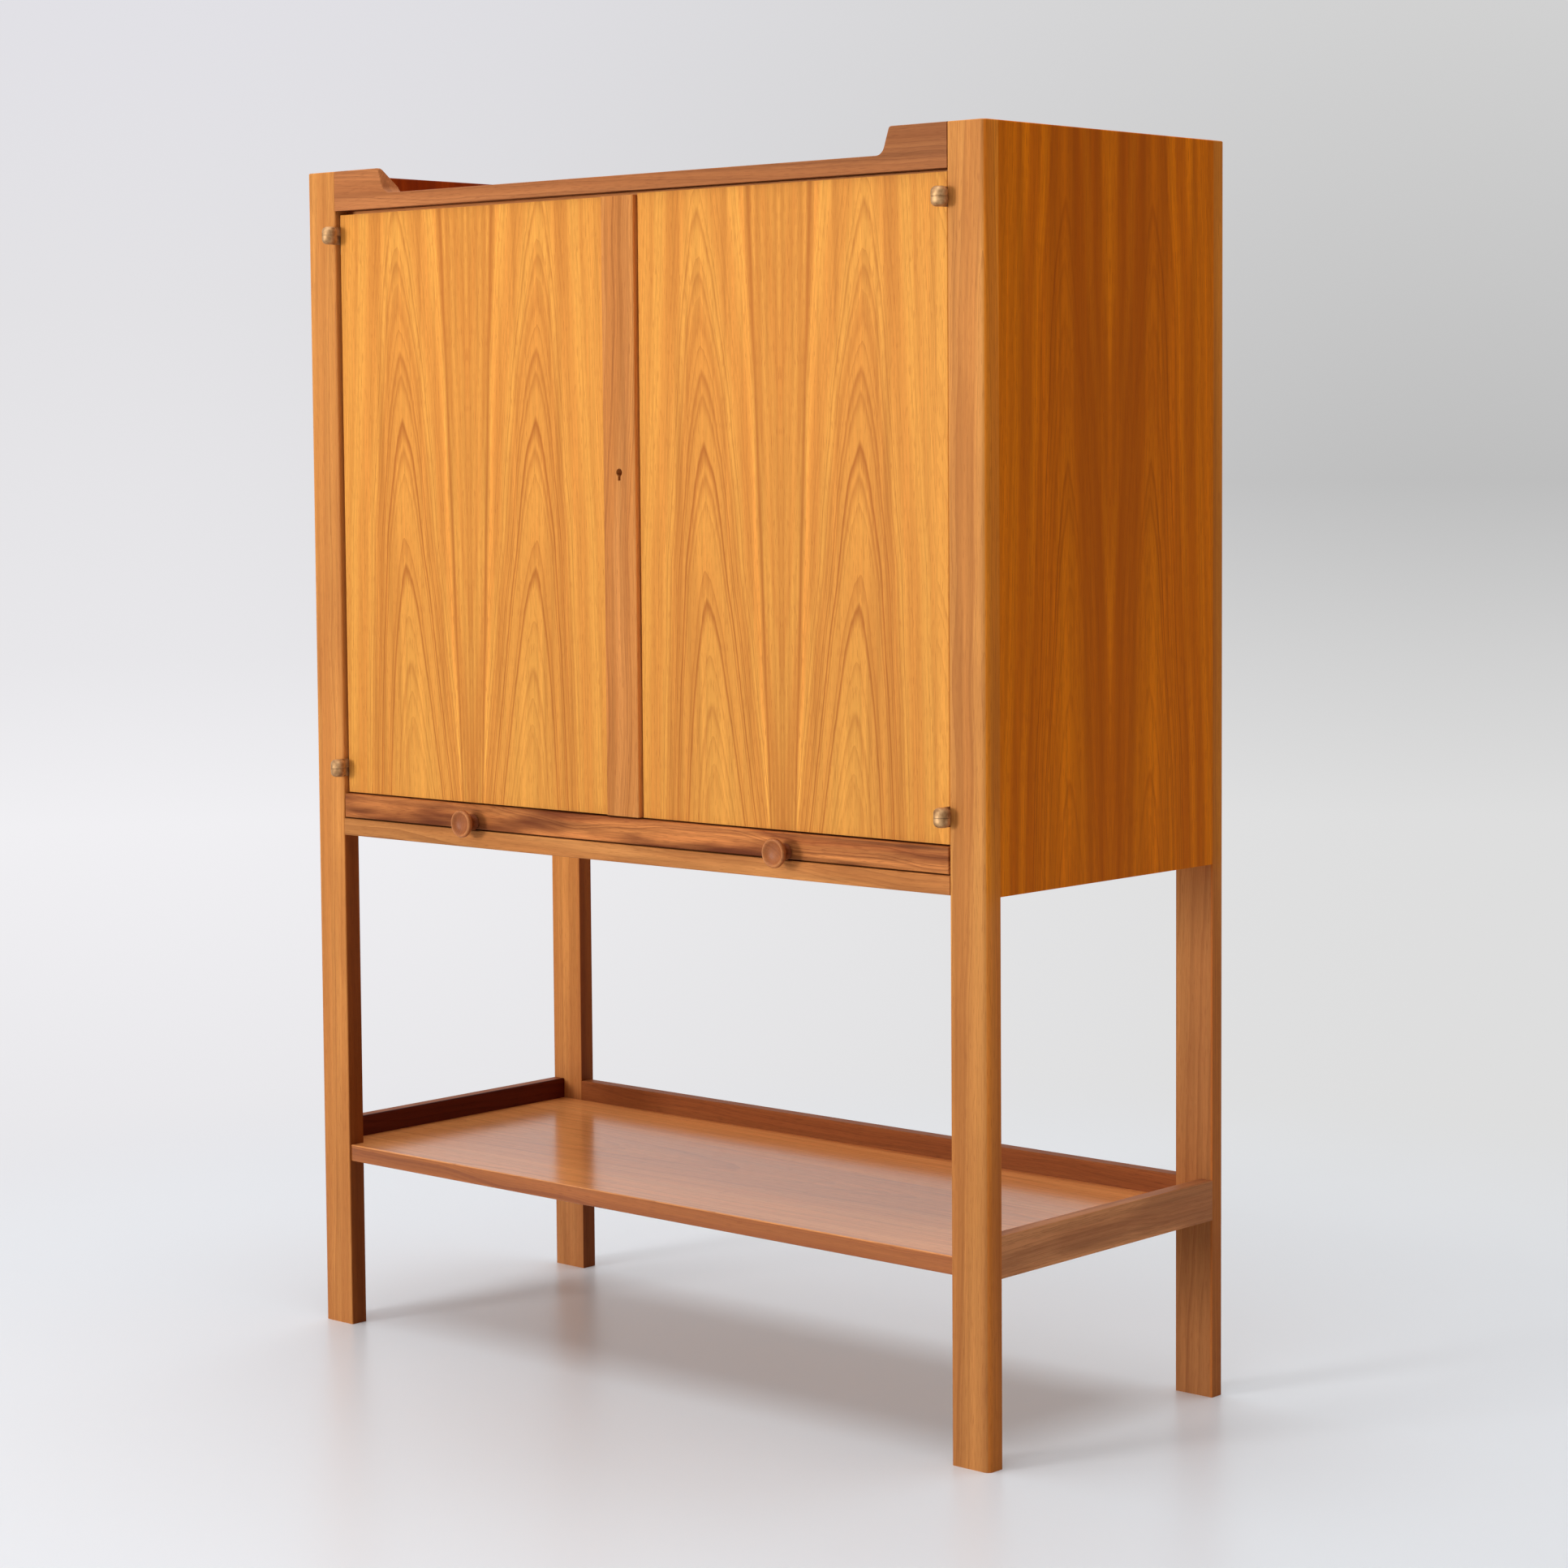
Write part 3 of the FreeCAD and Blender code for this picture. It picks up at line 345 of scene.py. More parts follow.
def soft_lamp(name, place, size, share):
    """A square lamp that adds this share of full light where it aims."""
    lamp = bpy.data.lights.new(name, "AREA")
    lamp.shape = "SQUARE"
    lamp.size = size
    reach = (Vector(place) - AIM).length
    lamp.energy = share * (math.pi * reach) ** 2
    holder = bpy.data.objects.new(name, lamp)
    holder.location = place
    holder.rotation_euler = (Vector(place) - AIM).to_track_quat("Z", "Y").to_euler()
    bpy.context.scene.collection.objects.link(holder)
    return holder


lamps = (soft_lamp("front_lamp", place=(-2.2, -6.6, 1.5), size=1.8, share=0.55),
         soft_lamp("top_lamp", place=(0.1, 0.0, 4.2), size=5.0, share=1.42))
print("lamps:", [lamp.name for lamp in lamps])

# %% [markdown]
# ## Wood: the grain of a board
#
# A board has three directions: across the grain, into its face, and along the grain. Veneer leaves
# from one log are opened like a book, so on the doors and the sides the first direction is measured
# from the joint between the leaves, to the left and to the right alike. Most of what one sees on
# wood is slow or fine unevenness drawn out along the grain. Noise does that when the place that it
# reads is pressed together along the grain, and a soft step then picks out its higher parts.

# %% Directions and noise


def grain_of(tree, parts, axes, lift, mirror):
    """The directions across, into and along a board, named by its axes."""
    across, into, along = (parts[axis] for axis in axes)
    along = maths(tree, "ADD", along, lift)
    if mirror is not None:
        across = maths(tree, "ABSOLUTE", maths(tree, "SUBTRACT", across, mirror))
    return across, into, along


def noise_over(tree, grain, pressed, scale, detail=2.0, rough=0.5):
    """Smooth noise over a board, drawn out along the grain."""
    across, into, along = grain
    place = add_node(tree, "ShaderNodeCombineXYZ", X=across, Y=into,
                     Z=maths(tree, "MULTIPLY", along, pressed)).outputs[0]
    return add_node(tree, "ShaderNodeTexNoise", {"noise_dimensions": "3D"}, Scale=scale,
                    Detail=detail, Roughness=rough, Vector=place).outputs["Fac"]


def noise_along(tree, line, scale):
    """Smooth noise along one number."""
    return add_node(tree, "ShaderNodeTexNoise", {"noise_dimensions": "1D"}, Scale=scale,
                    Detail=2.0, Roughness=0.5, W=line).outputs["Fac"]


def soft_step(tree, value, low, high, first=0.0, last=1.0):
    """A value that eases from one level to another between two limits."""
    node = add_node(tree, "ShaderNodeMapRange", {"interpolation_type": "SMOOTHSTEP"}, Value=value,
                    From_Min=low, From_Max=high, To_Min=first, To_Max=last)
    return node.outputs["Result"]


print("noise helpers ready")

# %% [markdown]
# ## Wood: the tree's rings
#
# A board's figure comes from where the saw meets the rings. They are thin cones round the pith, so
# a cut that passes close to the pith shows nested arches, and a cut far from it shows straight
# lines. The finish works the same way. It measures how far a point is from the pith, adds a little
# for the tree's taper, bends the result with slow noise, and counts rings in it. Because it is
# measured in space and not on a picture, the figure turns the corner of every edge as real wood
# does. Each ring starts light in spring and darkens towards its late wood, and good and bad years
# make rings of uneven width and strength.

# %% Rings
WANDER = 30 * MM
BEND = 4 * MM
RIPPLE = 1 * MM
LATE_WOOD_POWER = 3.0
OTHER_YEARS = 41.0


def ring_distance(tree, grain, pith, lean, point, taper, shift, wave):
    """How far the ring through a point would be from the pith at the floor."""
    across, into, along = grain
    drift = noise_along(tree, scaled(tree, along, by=2.6, plus=shift), scale=1.0)
    wander = scaled(tree, drift, by=WANDER * wave, plus=-WANDER / 2 * wave)
    pith_across, pith_into = pith
    pith_line = scaled(tree, along, by=lean, plus=pith_across)
    aside = maths(tree, "ADD", maths(tree, "SUBTRACT", across, pith_line), wander)
    aside = maths(tree, "ADD", maths(tree, "ABSOLUTE", aside), point)
    deep = maths(tree, "SUBTRACT", into, pith_into)
    radius = maths(tree, "SQRT", maths(tree, "ADD", maths(tree, "MULTIPLY", aside, aside),
                                       maths(tree, "MULTIPLY", deep, deep)))
    bend = noise_over(tree, grain, pressed=0.12, scale=22.0)
    ripple = noise_over(tree, grain, pressed=0.16, scale=150.0)
    cone = scaled(tree, along, by=taper, plus=radius)
    cone = scaled(tree, bend, by=BEND * wave, plus=cone)
    return scaled(tree, ripple, by=RIPPLE, plus=cone)


def ring_marks(tree, cone, ring_gap, shift, lines, bands):
    """How strongly the fine lines of late wood show at a point, and the broader bands."""
    ring = scaled(tree, cone, by=1 / ring_gap, plus=shift)
    uneven = scaled(tree, noise_along(tree, ring, scale=0.37), by=3.0, plus=ring)
    late = maths(tree, "POWER", maths(tree, "FRACT", uneven), LATE_WOOD_POWER)
    years = noise_along(tree, maths(tree, "ADD", ring, OTHER_YEARS), scale=0.23)
    vigour = soft_step(tree, years, 0.38, 0.62, first=0.25, last=1.0)
    line_share = maths(tree, "MULTIPLY", maths(tree, "MULTIPLY", late, vigour), lines)
    broad = soft_step(tree, noise_along(tree, ring, scale=0.14), 0.36, 0.64)
    return line_share, maths(tree, "MULTIPLY", bands, broad)


print("rings wander by", round(WANDER / MM), "mm and bend by", round(BEND / MM), "mm")

# %% [markdown]
# ## Wood: arches where they are wanted
#
# On show veneer the tips of the strongest arches are the first thing that one sees, so they are
# placed one by one. The line where a ring meets the face stands highest right over the pith. A
# distance in the tree can therefore be read back as the height of that tip, and a ramp over the
# height draws a dark line for each tip in a list. Going up, a line comes on softly and ends
# sharply, as late wood does.

# %% Arches
LINE_RISE, LINE_CREST, LINE_END = -22 * MM, -3 * MM, 6 * MM
MEAN_BEND = 2.5 * MM


def arch_lines(tree, cone, point, taper, pith_depth, tips):
    """Dark lines whose tips stand at the given heights above the floor."""
    tip_radius = math.hypot(point, pith_depth)
    height = scaled(tree, cone, by=1 / taper, plus=-(tip_radius + MEAN_BEND) / taper)
    low, high = tips[0][0] - 50 * MM, tips[-1][0] + 50 * MM
    level = scaled(tree, height, by=1 / (high - low), plus=-low / (high - low))
    stops = []
    for tip, strength in tips:
        for offset, share in ((LINE_RISE, 0.0), (LINE_CREST, strength), (LINE_END, 0.0)):
            stops.append(((tip + offset - low) / (high - low), grey(share)))
    return ramp(tree, level, stops)


print("an arch's line is", round((LINE_END - LINE_RISE) / MM), "mm from start to end")

# %% [markdown]
# ## Wood: the fan between the leaves
#
# Where two mirrored leaves meet, the straight grain at their edges makes a bundle of stripes that
# opens upwards like a fan. The distance from the joint, divided by the fan's width at that height,
# says where in the fan a point lies, and a ramp holds the stripes from the middle to the rim. Just
# outside the rim the wood is a little lighter.

# %% Fan
NARROWEST_FAN = 4 * MM
FAN_EDGE = 1.04
RIM_START, RIM_PEAK, RIM_END = 0.98, 1.08, 1.36
RIM_LIGHT = 0.28
FAN_SWAY = 0.16


def shaded(tree, tone, level):
    """A colour made lighter or darker by a level that changes over the surface."""
    grey_level = add_node(tree, "ShaderNodeCombineColor", Red=level, Green=level, Blue=level)
    return blend(tree, 1.0, tone, grey_level.outputs["Color"], mode="MULTIPLY")


def fan_stripes(tree, grain, start, slope, tones, edge, glow):
    """The fan's stripes, the level of light round its rim, and the area that it covers."""
    across, _, along = grain
    spread = maths(tree, "MAXIMUM", scaled(tree, along, by=slope, plus=-slope * start),
                   NARROWEST_FAN)
    sway = noise_over(tree, grain, pressed=0.5, scale=9.0)
    fan = maths(tree, "ADD", maths(tree, "DIVIDE", across, spread),
                scaled(tree, sway, by=FAN_SWAY, plus=-FAN_SWAY / 2))
    inside = soft_step(tree, fan, FAN_EDGE - edge, FAN_EDGE, first=1.0, last=0.0)
    stripes = maths(tree, "MULTIPLY", ramp(tree, fan, tones), inside)
    rim = maths(tree, "MULTIPLY", soft_step(tree, fan, RIM_START, RIM_PEAK),
                soft_step(tree, fan, RIM_PEAK, RIM_END, first=glow, last=0.0))
    return stripes, scaled(tree, rim, by=RIM_LIGHT, plus=1.0), inside


print("the fan's light rim ends at", RIM_END, "times its width")

# %% [markdown]
# ## Wood: patches and casts
#
# Real boards also vary in larger areas. Dark patches are noise over the board: drawn out very far
# they are stripes, and short ones are clouds. A cast is a tint on one part of a piece. Most casts
# here are painted light and shade, such as a face that is always in the shade or a foot that less
# light reaches. A cast names an axis and the two places between which the tint eases in, and with
# several limits it shows where all hold.

# %% Patches and casts


def dark_patches(tree, grain, pressed, scale, detail, high, share):
    """How dark the patches are at a point: stripes if they are long, clouds if they are short."""
    patches = noise_over(tree, grain, pressed, scale, detail)
    return maths(tree, "MULTIPLY", share, soft_step(tree, patches, 0.46, high))


def with_casts(tree, surface, parts, casts):
    """Tint the surface within each cast's limits."""
    for tint, *limits in casts:
        steps = [soft_step(tree, parts[axis], start, end) for axis, start, end in limits]
        share = steps[0]
        for step in steps[1:]:
            share = maths(tree, "MULTIPLY", share, step)
        surface = blend(tree, share, surface, tint, mode="MULTIPLY")
    return surface


print("patches and casts ready")

# %% [markdown]
# ## Wood: all layers together
#
# A wood finish is built from large to small, as one would draw it. First come the ring bands and
# the darker patches, then the fan and the dark ring lines. The fibres and the short dark pores
# follow, which also roughen the surface and press tiny dents into it, and the casts come last. The
# function has a setting for each of these, with a usual value, so that each wood below states only
# what makes it different. The shift takes every board from another part of the tree.

# %% Wood finish


def wood(name, tones, axes="XYZ", pith=(0.0, 0.07), mirror=None, lift=0.0, taper=0.06, lean=0.0,
         ring_gap=3.2 * MM, lines=0.6, bands=0.5, pores=0.35, streaks=0.13, stripes=0.0,
         stripe_scale=60.0, clouds=0.0, roughness=0.45, shine=0.06, shift=0.0, wave=1.0,
         point=0.0, arches=None, fan=None, casts=()):
    """Wood cut near or far from the pith. Axes name the directions across, into and along it."""
    light, middle, dark = tones
    finish, tree, shader = new_finish(name)
    place = add_node(tree, "ShaderNodeTexCoord").outputs["Object"]
    parts = add_node(tree, "ShaderNodeSeparateXYZ", Vector=place).outputs
    grain = grain_of(tree, parts, axes, lift, mirror)

    # Bands, lines and patches
    cone = ring_distance(tree, grain, pith, lean, point, taper, shift, wave)
    line_share, band_share = ring_marks(tree, cone, ring_gap, shift, lines, bands)
    if arches is not None:
        line_share = maths(tree, "MAXIMUM", line_share,
                           arch_lines(tree, cone, point, taper, **arches))
    surface = blend(tree, band_share, light, middle)
    if stripes:
        surface = blend(tree, dark_patches(tree, grain, pressed=0.012, scale=stripe_scale,
                                           detail=2.0, high=0.62, share=stripes), surface, dark)
    if clouds:
        surface = blend(tree, dark_patches(tree, grain, pressed=0.16, scale=26.0,
                                           detail=3.0, high=0.64, share=clouds), surface, dark)
    if fan is not None:
        fan_share, rim_level, inside = fan_stripes(tree, grain, **fan)
        surface = shaded(tree, blend(tree, fan_share, surface, dark), rim_level)
        line_share = maths(tree, "MULTIPLY", line_share, scaled(tree, inside, by=-0.6, plus=1.0))
    surface = blend(tree, line_share, surface, dark)

    # Fibres, pores and casts
    fibres = noise_over(tree, grain, pressed=0.02, scale=170.0, detail=4.0, rough=0.65)
    fibre_level = add_node(tree, "ShaderNodeMapRange", Value=fibres, From_Min=0.3, From_Max=0.7,
                           To_Min=1 - streaks, To_Max=1 + streaks * 0.6).outputs["Result"]
    surface = shaded(tree, surface, fibre_level)
    dashes = soft_step(tree, noise_over(tree, grain, pressed=0.045, scale=1500.0, detail=0.0),
                       0.60, 0.72)
    surface = blend(tree, maths(tree, "MULTIPLY", dashes, pores), surface, dark)
    plug(tree, shader.inputs["Base Color"], with_casts(tree, surface, parts, casts))

    # Sheen and touch
    rough = add_node(tree, "ShaderNodeMapRange", Value=fibres, To_Min=roughness - 0.06,
                     To_Max=roughness + 0.06)
    plug(tree, shader.inputs["Roughness"], rough.outputs["Result"])
    relief = add_node(tree, "ShaderNodeBump", Strength=0.25, Distance=0.05 * MM,
                      Height=scaled(tree, dashes, by=-1.0, plus=fibres))
    plug(tree, shader.inputs["Normal"], relief.outputs["Normal"])
    plug(tree, shader.inputs["Specular IOR Level"], shine)
    return finish


print("wood finish ready")

# %% [markdown]
# ## Tones
#
# Each wood has three tones: the light one of spring wood, a middle one for the bands, and the dark
# one of late wood, pores and stripes. The doors are golden and the sides browner. The legs are
# lighter than the rails, and the slide's front has the widest range, from honey to dark brown.
# Strips that no one sees are bare pale hardwood.

# %% Tones of each wood
DOOR_TONES = (colour(230, 159, 71), colour(217, 140, 61), colour(172, 95, 37))
LEFT_SIDE_TONES = (colour(226, 140, 54), colour(206, 118, 44), colour(166, 84, 30))
# Painted shade: a shaded copy of the side veneer, deeper and almost without blue
RIGHT_SIDE_TONES = (colour(227, 121, 6), colour(200, 98, 3), colour(162, 70, 1))
LEG_TONES = (colour(220, 149, 76), colour(202, 129, 64), colour(160, 92, 44))
STRIP_TONES = (colour(210, 138, 72), colour(194, 121, 59), colour(150, 84, 40))
RAIL_TONES = (colour(184, 116, 68), colour(166, 98, 54), colour(122, 66, 36))
LOW_RAIL_TONES = (colour(208, 140, 78), colour(188, 118, 62), colour(138, 78, 38))
KNOB_TONES = (colour(192, 122, 68), colour(172, 102, 54), colour(118, 62, 34))
SLIDE_TONES = (colour(208, 130, 70), colour(170, 94, 48), colour(100, 44, 22))
SHELF_TONES = (colour(240, 162, 94), colour(222, 142, 80), colour(168, 96, 52))
RIM_TONES = (colour(206, 138, 88), colour(190, 120, 74), colour(144, 84, 50))
BACK_RIM_TONES = (colour(150, 85, 44), colour(136, 73, 37), colour(100, 50, 25))
BOARD_TONES = (colour(202, 138, 78), colour(186, 120, 64), colour(150, 88, 46))
PALE_TONES = (colour(216, 186, 140), colour(204, 170, 124), colour(180, 142, 98))
finishes = {}
print("darkest tone of the slide as light:", [round(share, 3) for share in SLIDE_TONES[2][:3]])

# %% [markdown]
# ## Door veneer
#
# Each door carries two mirrored leaves of flame-figured veneer that meet a little left of its
# middle. The pith lies well behind the face, so its arches are tall and narrow. The list gives the
# height of each tip above the floor and how strong its line is. The right door's leaves come from
# 30 mm further along the same log, so its arches sit lower and still match. A painted shade makes
# the doors a little darker towards the floor, where less light reaches them.

# %% Finishes of the doors
LEAF_JOINT_SHIFT = 3.5 * MM
LEAF_STEP = 30 * MM
DOOR_PITH_DEPTH = 66 * MM
DOOR_ARCHES = ((0.728, 0.25), (0.800, 0.40), (0.918, 0.85), (1.058, 0.50), (1.090, 0.85),
               (1.146, 0.50), (1.172, 0.62), (1.232, 0.35), (1.280, 0.50), (1.345, 0.50))
DOOR_FAN = ((0.0, grey(0.08)), (0.12, grey(0.28)), (0.24, grey(0.02)), (0.40, grey(0.30)),
            (0.54, grey(0.05)), (0.68, grey(0.28)), (0.78, grey(0.08)), (0.89, grey(0.70)),
            (0.98, grey(0.35)))
# A box is given by its low corner and its high corner.
LOW, HIGH = 0, 1
door_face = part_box("left_door_panel")[LOW][1]
left_middle = (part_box("left_door_hinge_lipping")[LOW][0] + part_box("left_door_panel")[HIGH][0]) / 2
right_middle = (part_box("right_door_meeting_lipping")[LOW][0]
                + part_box("right_door_panel")[HIGH][0]) / 2
DOOR_GRAIN = dict(pith=(0.077, door_face + DOOR_PITH_DEPTH), lean=0.0327, taper=0.064,
                  point=5 * MM, arches=dict(pith_depth=DOOR_PITH_DEPTH, tips=DOOR_ARCHES),
                  fan=dict(start=0.252, slope=0.0446, tones=DOOR_FAN, edge=0.14, glow=0.8),
                  lines=0.46, bands=0.75, stripes=0.26, shift=3.1, wave=0.6,
                  # Painted shade: the doors darken towards the floor
                  casts=((grey(0.90), ("Z", 1.2, 0.65)),))
finishes["left_door"] = wood("left_door_veneer", DOOR_TONES,
                             mirror=left_middle - LEAF_JOINT_SHIFT, **DOOR_GRAIN)
finishes["right_door"] = wood("right_door_veneer", DOOR_TONES, lift=LEAF_STEP,
                              mirror=right_middle - LEAF_JOINT_SHIFT, **DOOR_GRAIN)
finishes["lipping"] = wood("lipping_wood", DOOR_TONES, pith=(0.3, 0.6), ring_gap=2.6 * MM,
                           lines=0.4, bands=0.3, shift=4.9)
print("arches on each leaf of a door:", len(DOOR_ARCHES))

# %% [markdown]
# ## Side veneer
#
# The sides have the same kind of leaves, fainter and browner, joined in the middle of the side. The
# pith lies behind the outer face, on the left side and on the right side alike. Above the sunk top
# the inner faces of the sides stand in the shade, and a painted shade makes them darker still.

# %% Finishes of the sides
SIDE_PITH_DEPTH = 50 * MM
SIDE_PITH_ACROSS = 62 * MM
SIDE_ARCHES = ((0.700, 0.45), (0.790, 0.30), (0.905, 0.40), (1.000, 0.70), (1.035, 0.85),
               (1.120, 0.35), (1.190, 0.50), (1.250, 0.60), (1.310, 0.90))
SIDE_FAN = ((0.0, grey(0.05)), (0.08, grey(0.12)), (0.20, grey(0.60)), (0.34, grey(0.40)),
            (0.50, grey(0.60)), (0.64, grey(0.20)), (0.80, grey(0.40)), (1.0, grey(0.10)))

side_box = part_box("right_side_panel")
side_inner, side_outer = side_box[LOW][0], side_box[HIGH][0]
side_middle = (side_box[LOW][1] + side_box[HIGH][1]) / 2
sunk_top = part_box("top_panel")[HIGH][2]
# Limits of the painted shade on the sides' inner faces above the sunk top
above_top = ("Z", sunk_top - 10 * MM, sunk_top + 2 * MM)
skin_start, skin_end = side_inner + 4.5 * MM, side_inner + 1.5 * MM
SIDE_GRAIN = dict(axes="YXZ", mirror=side_middle, lean=0.010, taper=0.05, point=4 * MM,
                  arches=dict(pith_depth=SIDE_PITH_DEPTH, tips=SIDE_ARCHES),
                  fan=dict(start=-0.6, slope=0.06, tones=SIDE_FAN, edge=0.5, glow=0.3),
                  lines=0.42, bands=0.75, stripes=0.30, stripe_scale=55.0, wave=0.6,
                  shine=0.05, roughness=0.5, shift=9.4)
finishes["left_side"] = wood(
    "left_side_veneer", LEFT_SIDE_TONES, pith=(SIDE_PITH_ACROSS, SIDE_PITH_DEPTH - side_outer),
    # Painted shade on the inner face above the sunk top
    casts=(((0.36, 0.17, 0.06, 1), ("X", -skin_start, -skin_end), above_top),), **SIDE_GRAIN)
finishes["right_side"] = wood(
    "right_side_veneer", RIGHT_SIDE_TONES, pith=(SIDE_PITH_ACROSS, side_outer - SIDE_PITH_DEPTH),
    # Painted shade on the inner face above the sunk top
    casts=(((0.36, 0.20, 0.30, 1), ("X", skin_start, skin_end), above_top),), **SIDE_GRAIN)
print("arches on each leaf of a side:", len(SIDE_ARCHES))

# %% [markdown]
# ## Legs and meeting strip
#
# The legs are straight-grained solid wood: their pith is far outside the cabinet, so the rings
# cross them as straight lines. All legs are painted darker towards the feet, a painted shade where
# less light reaches, and the right legs a little darker again low down. Below the case a painted
# shade makes the left legs' inner faces much darker. The rear legs carry a painted shade too, on
# the left only near the floor. On the right legs the outer face is painted more golden as painted
# light, and most of all beside the case, where it is a painted reflection of the side veneer. The
# meeting strip's right edge is painted pale, painted light on a face in the shade of the gap beside
# it, and the strip is painted a little darker towards the floor.

# %% Finishes of the upright pieces
# The strip's right edge, from the cabinet's middle
STRIP_EDGE = 24 * MM
leg_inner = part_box("front_left_leg")[HIGH][0]
leg_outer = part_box("front_right_leg")[HIGH][0]
# The outer face of the right legs, where painted light tints them
outer_skin = ("X", leg_outer - 3.5 * MM, leg_outer - 1.8 * MM)
# Painted shade: every leg darker towards its foot, where less light reaches
foot = ((0.77, 0.74, 0.84, 1), ("Z", 0.8, 0.0))
# The rear legs, where a painted shade darkens them
rear = ("Y", 0.10, 0.15)
LEG_GRAIN = dict(pith=(0.9, -0.9), taper=0.012, lines=0.45, bands=0.7, stripes=0.24,
                 clouds=0.22, shift=1.7)
finishes["left_leg"] = wood("left_leg_wood", LEG_TONES, casts=(
    foot,
    # Painted shade on the left legs' inner faces below the case
    ((0.48, 0.32, 0.22, 1), ("X", leg_inner - 1.5 * MM, leg_inner - 0.2 * MM),
     ("Z", 0.66, 0.60)),
    # Painted shade on the rear left leg near the floor
    ((0.86, 0.86, 1, 1), rear, ("Z", 0.30, 0.20))), **LEG_GRAIN)
finishes["right_leg"] = wood("right_leg_wood", LEG_TONES, casts=(
    foot,
    # Painted shade: the right legs a little darker low down
    (grey(0.92), ("Z", 1.2, 0.9)),
    # Painted light on the outer face, and beside the case a painted reflection of the side veneer
    ((1.16, 0.90, 0.56, 1), outer_skin),
    ((1.0, 0.94, 0.50, 1), outer_skin, ("Z", 0.58, 0.62)),
    # Painted shade on the rear right leg
    ((0.84, 0.86, 1, 1), rear)), **LEG_GRAIN)
finishes["upright"] = wood(
    "strip_wood", STRIP_TONES, pith=(0.5, 0.35), taper=0.02, ring_gap=2.6 * MM, lines=0.6,
    bands=0.8, streaks=0.2, stripes=0.3, shift=5.2,
    # Painted light on the strip's right side face, which stands in the shade of the gap
    casts=(((1.35, 1.3, 1.2, 1), ("X", STRIP_EDGE - 0.8 * MM, STRIP_EDGE - 0.2 * MM)),
           # Painted shade: the strip a little darker towards the floor
           (grey(0.90), ("Z", 0.9, 0.66))))
print("leg faces at", round(leg_inner, 3), "and", round(leg_outer, 3))

# %% [markdown]
# ## Rails, slide and knobs
#
# The rails and the slide lie across the cabinet, so their grain runs along X and their axes are
# named ZYX. The top rail darkens slowly to the right and the bottom rail to the left. The slide's
# front is cut from a streaky plank, with wide rings and strong clouds. A knob's grain runs along
# its own axis, Y. The knobs are polished. A painted shade darkens the hollow of the face, and a
# deeper painted shade the waist, which lies in the shadow of the rim.

# %% Finishes of the rails, the slide and the knobs
knob_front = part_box("left_knob")[LOW][1]
finishes["rail"] = wood("rail_wood", RAIL_TONES, axes="ZYX", pith=(1.15, 0.12), taper=0.02,
                        lines=0.5, stripes=0.3, stripe_scale=90.0, shift=2.3,
                        casts=((grey(0.84), ("X", -0.4, 0.47)),))
finishes["low_rail"] = wood("low_rail_wood", LOW_RAIL_TONES, axes="ZYX", pith=(0.4, 0.2),
                            taper=0.02, lines=0.6, bands=0.9, clouds=0.35, streaks=0.2, shift=6.6,
                            casts=((grey(0.82), ("X", 0.3, -0.47)),))
finishes["slide"] = wood("slide_front_wood", SLIDE_TONES, axes="ZYX", pith=(0.58, -0.16),
                         taper=0.03, ring_gap=4.6 * MM, lines=0.6, bands=1.0, streaks=0.36,
                         stripes=0.3, stripe_scale=110.0, clouds=0.9, shift=7.9, wave=1.8)
finishes["knob"] = wood(
    "knob_wood", KNOB_TONES, axes="XZY", pith=(0.2, 0.56), taper=0.02, ring_gap=2.2 * MM,
    lines=0.5, bands=0.6, shine=0.22, shift=3.6,
    # Painted shade in the hollow of the face
    casts=(((0.74, 0.64, 0.60, 1), ("Y", knob_front + 0.3 * MM, knob_front + 2.9 * MM)),
           # Deeper painted shade round the waist, in the shadow of the rim
           ((0.55, 0.42, 0.36, 1), ("Y", knob_front + 7.5 * MM, knob_front + 12.5 * MM))))
print("knob's front at", round(knob_front, 4))

# %% [markdown]
# ## The open shelf
#
# The open shelf and its front edge are polished until the top mirrors the legs. The face of the
# front edge is darker than the top. The shelf's underside is painted darker and cooler: a painted
# shade that also keeps the light that it throws onto the floor below from turning warm. A painted
# shade darkens the left rim inside. The rims have no polish.

# %% Finishes of the open shelf
shelf_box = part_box("lower_shelf_board")
shelf_under, shelf_face = shelf_box[LOW][2], shelf_box[HIGH][2]
rim_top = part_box("lower_shelf_left_rail")[HIGH][2]
POLISH = dict(roughness=0.17, shine=0.36)
RIM_GRAIN = dict(axes="ZXY", pith=(-0.3, 0.9), taper=0.02)
finishes["shelf"] = wood(
    "shelf_veneer", SHELF_TONES, axes="YZX", pith=(0.0, 0.35), taper=0.03, lines=0.35, shift=2.9,
    # Painted shade on the underside, cool so that its bounce onto the floor stays neutral
    casts=(((0.74, 0.83, 0.97, 1), ("Z", shelf_under + 2.5 * MM, shelf_under + 0.5 * MM)),),
    **POLISH)
finishes["shelf_rail"] = wood(
    "shelf_rail_wood", SHELF_TONES, axes="ZYX", pith=(-0.3, 0.3), taper=0.02, stripes=0.35,
    stripe_scale=90.0, shift=4.4,
    casts=(((0.46, 0.34, 0.24, 1), ("Z", shelf_face - 0.2 * MM, shelf_face - 1.4 * MM)),),
    **POLISH)
finishes["shelf_back"] = wood("shelf_back_wood", BACK_RIM_TONES, axes="ZYX", pith=(-0.3, 0.3),
                              taper=0.02, shift=4.8)
finishes["shelf_left"] = wood(
    "shelf_left_wood", RIM_TONES, shift=8.8,
    # Painted shade on the left rim's inner face
    casts=(((0.20, 0.08, 0.08, 1), ("X", -skin_start, -skin_end)),
           ((0.55, 0.42, 0.36, 1), ("Z", rim_top - 1.5 * MM, rim_top - 0.5 * MM))), **RIM_GRAIN)
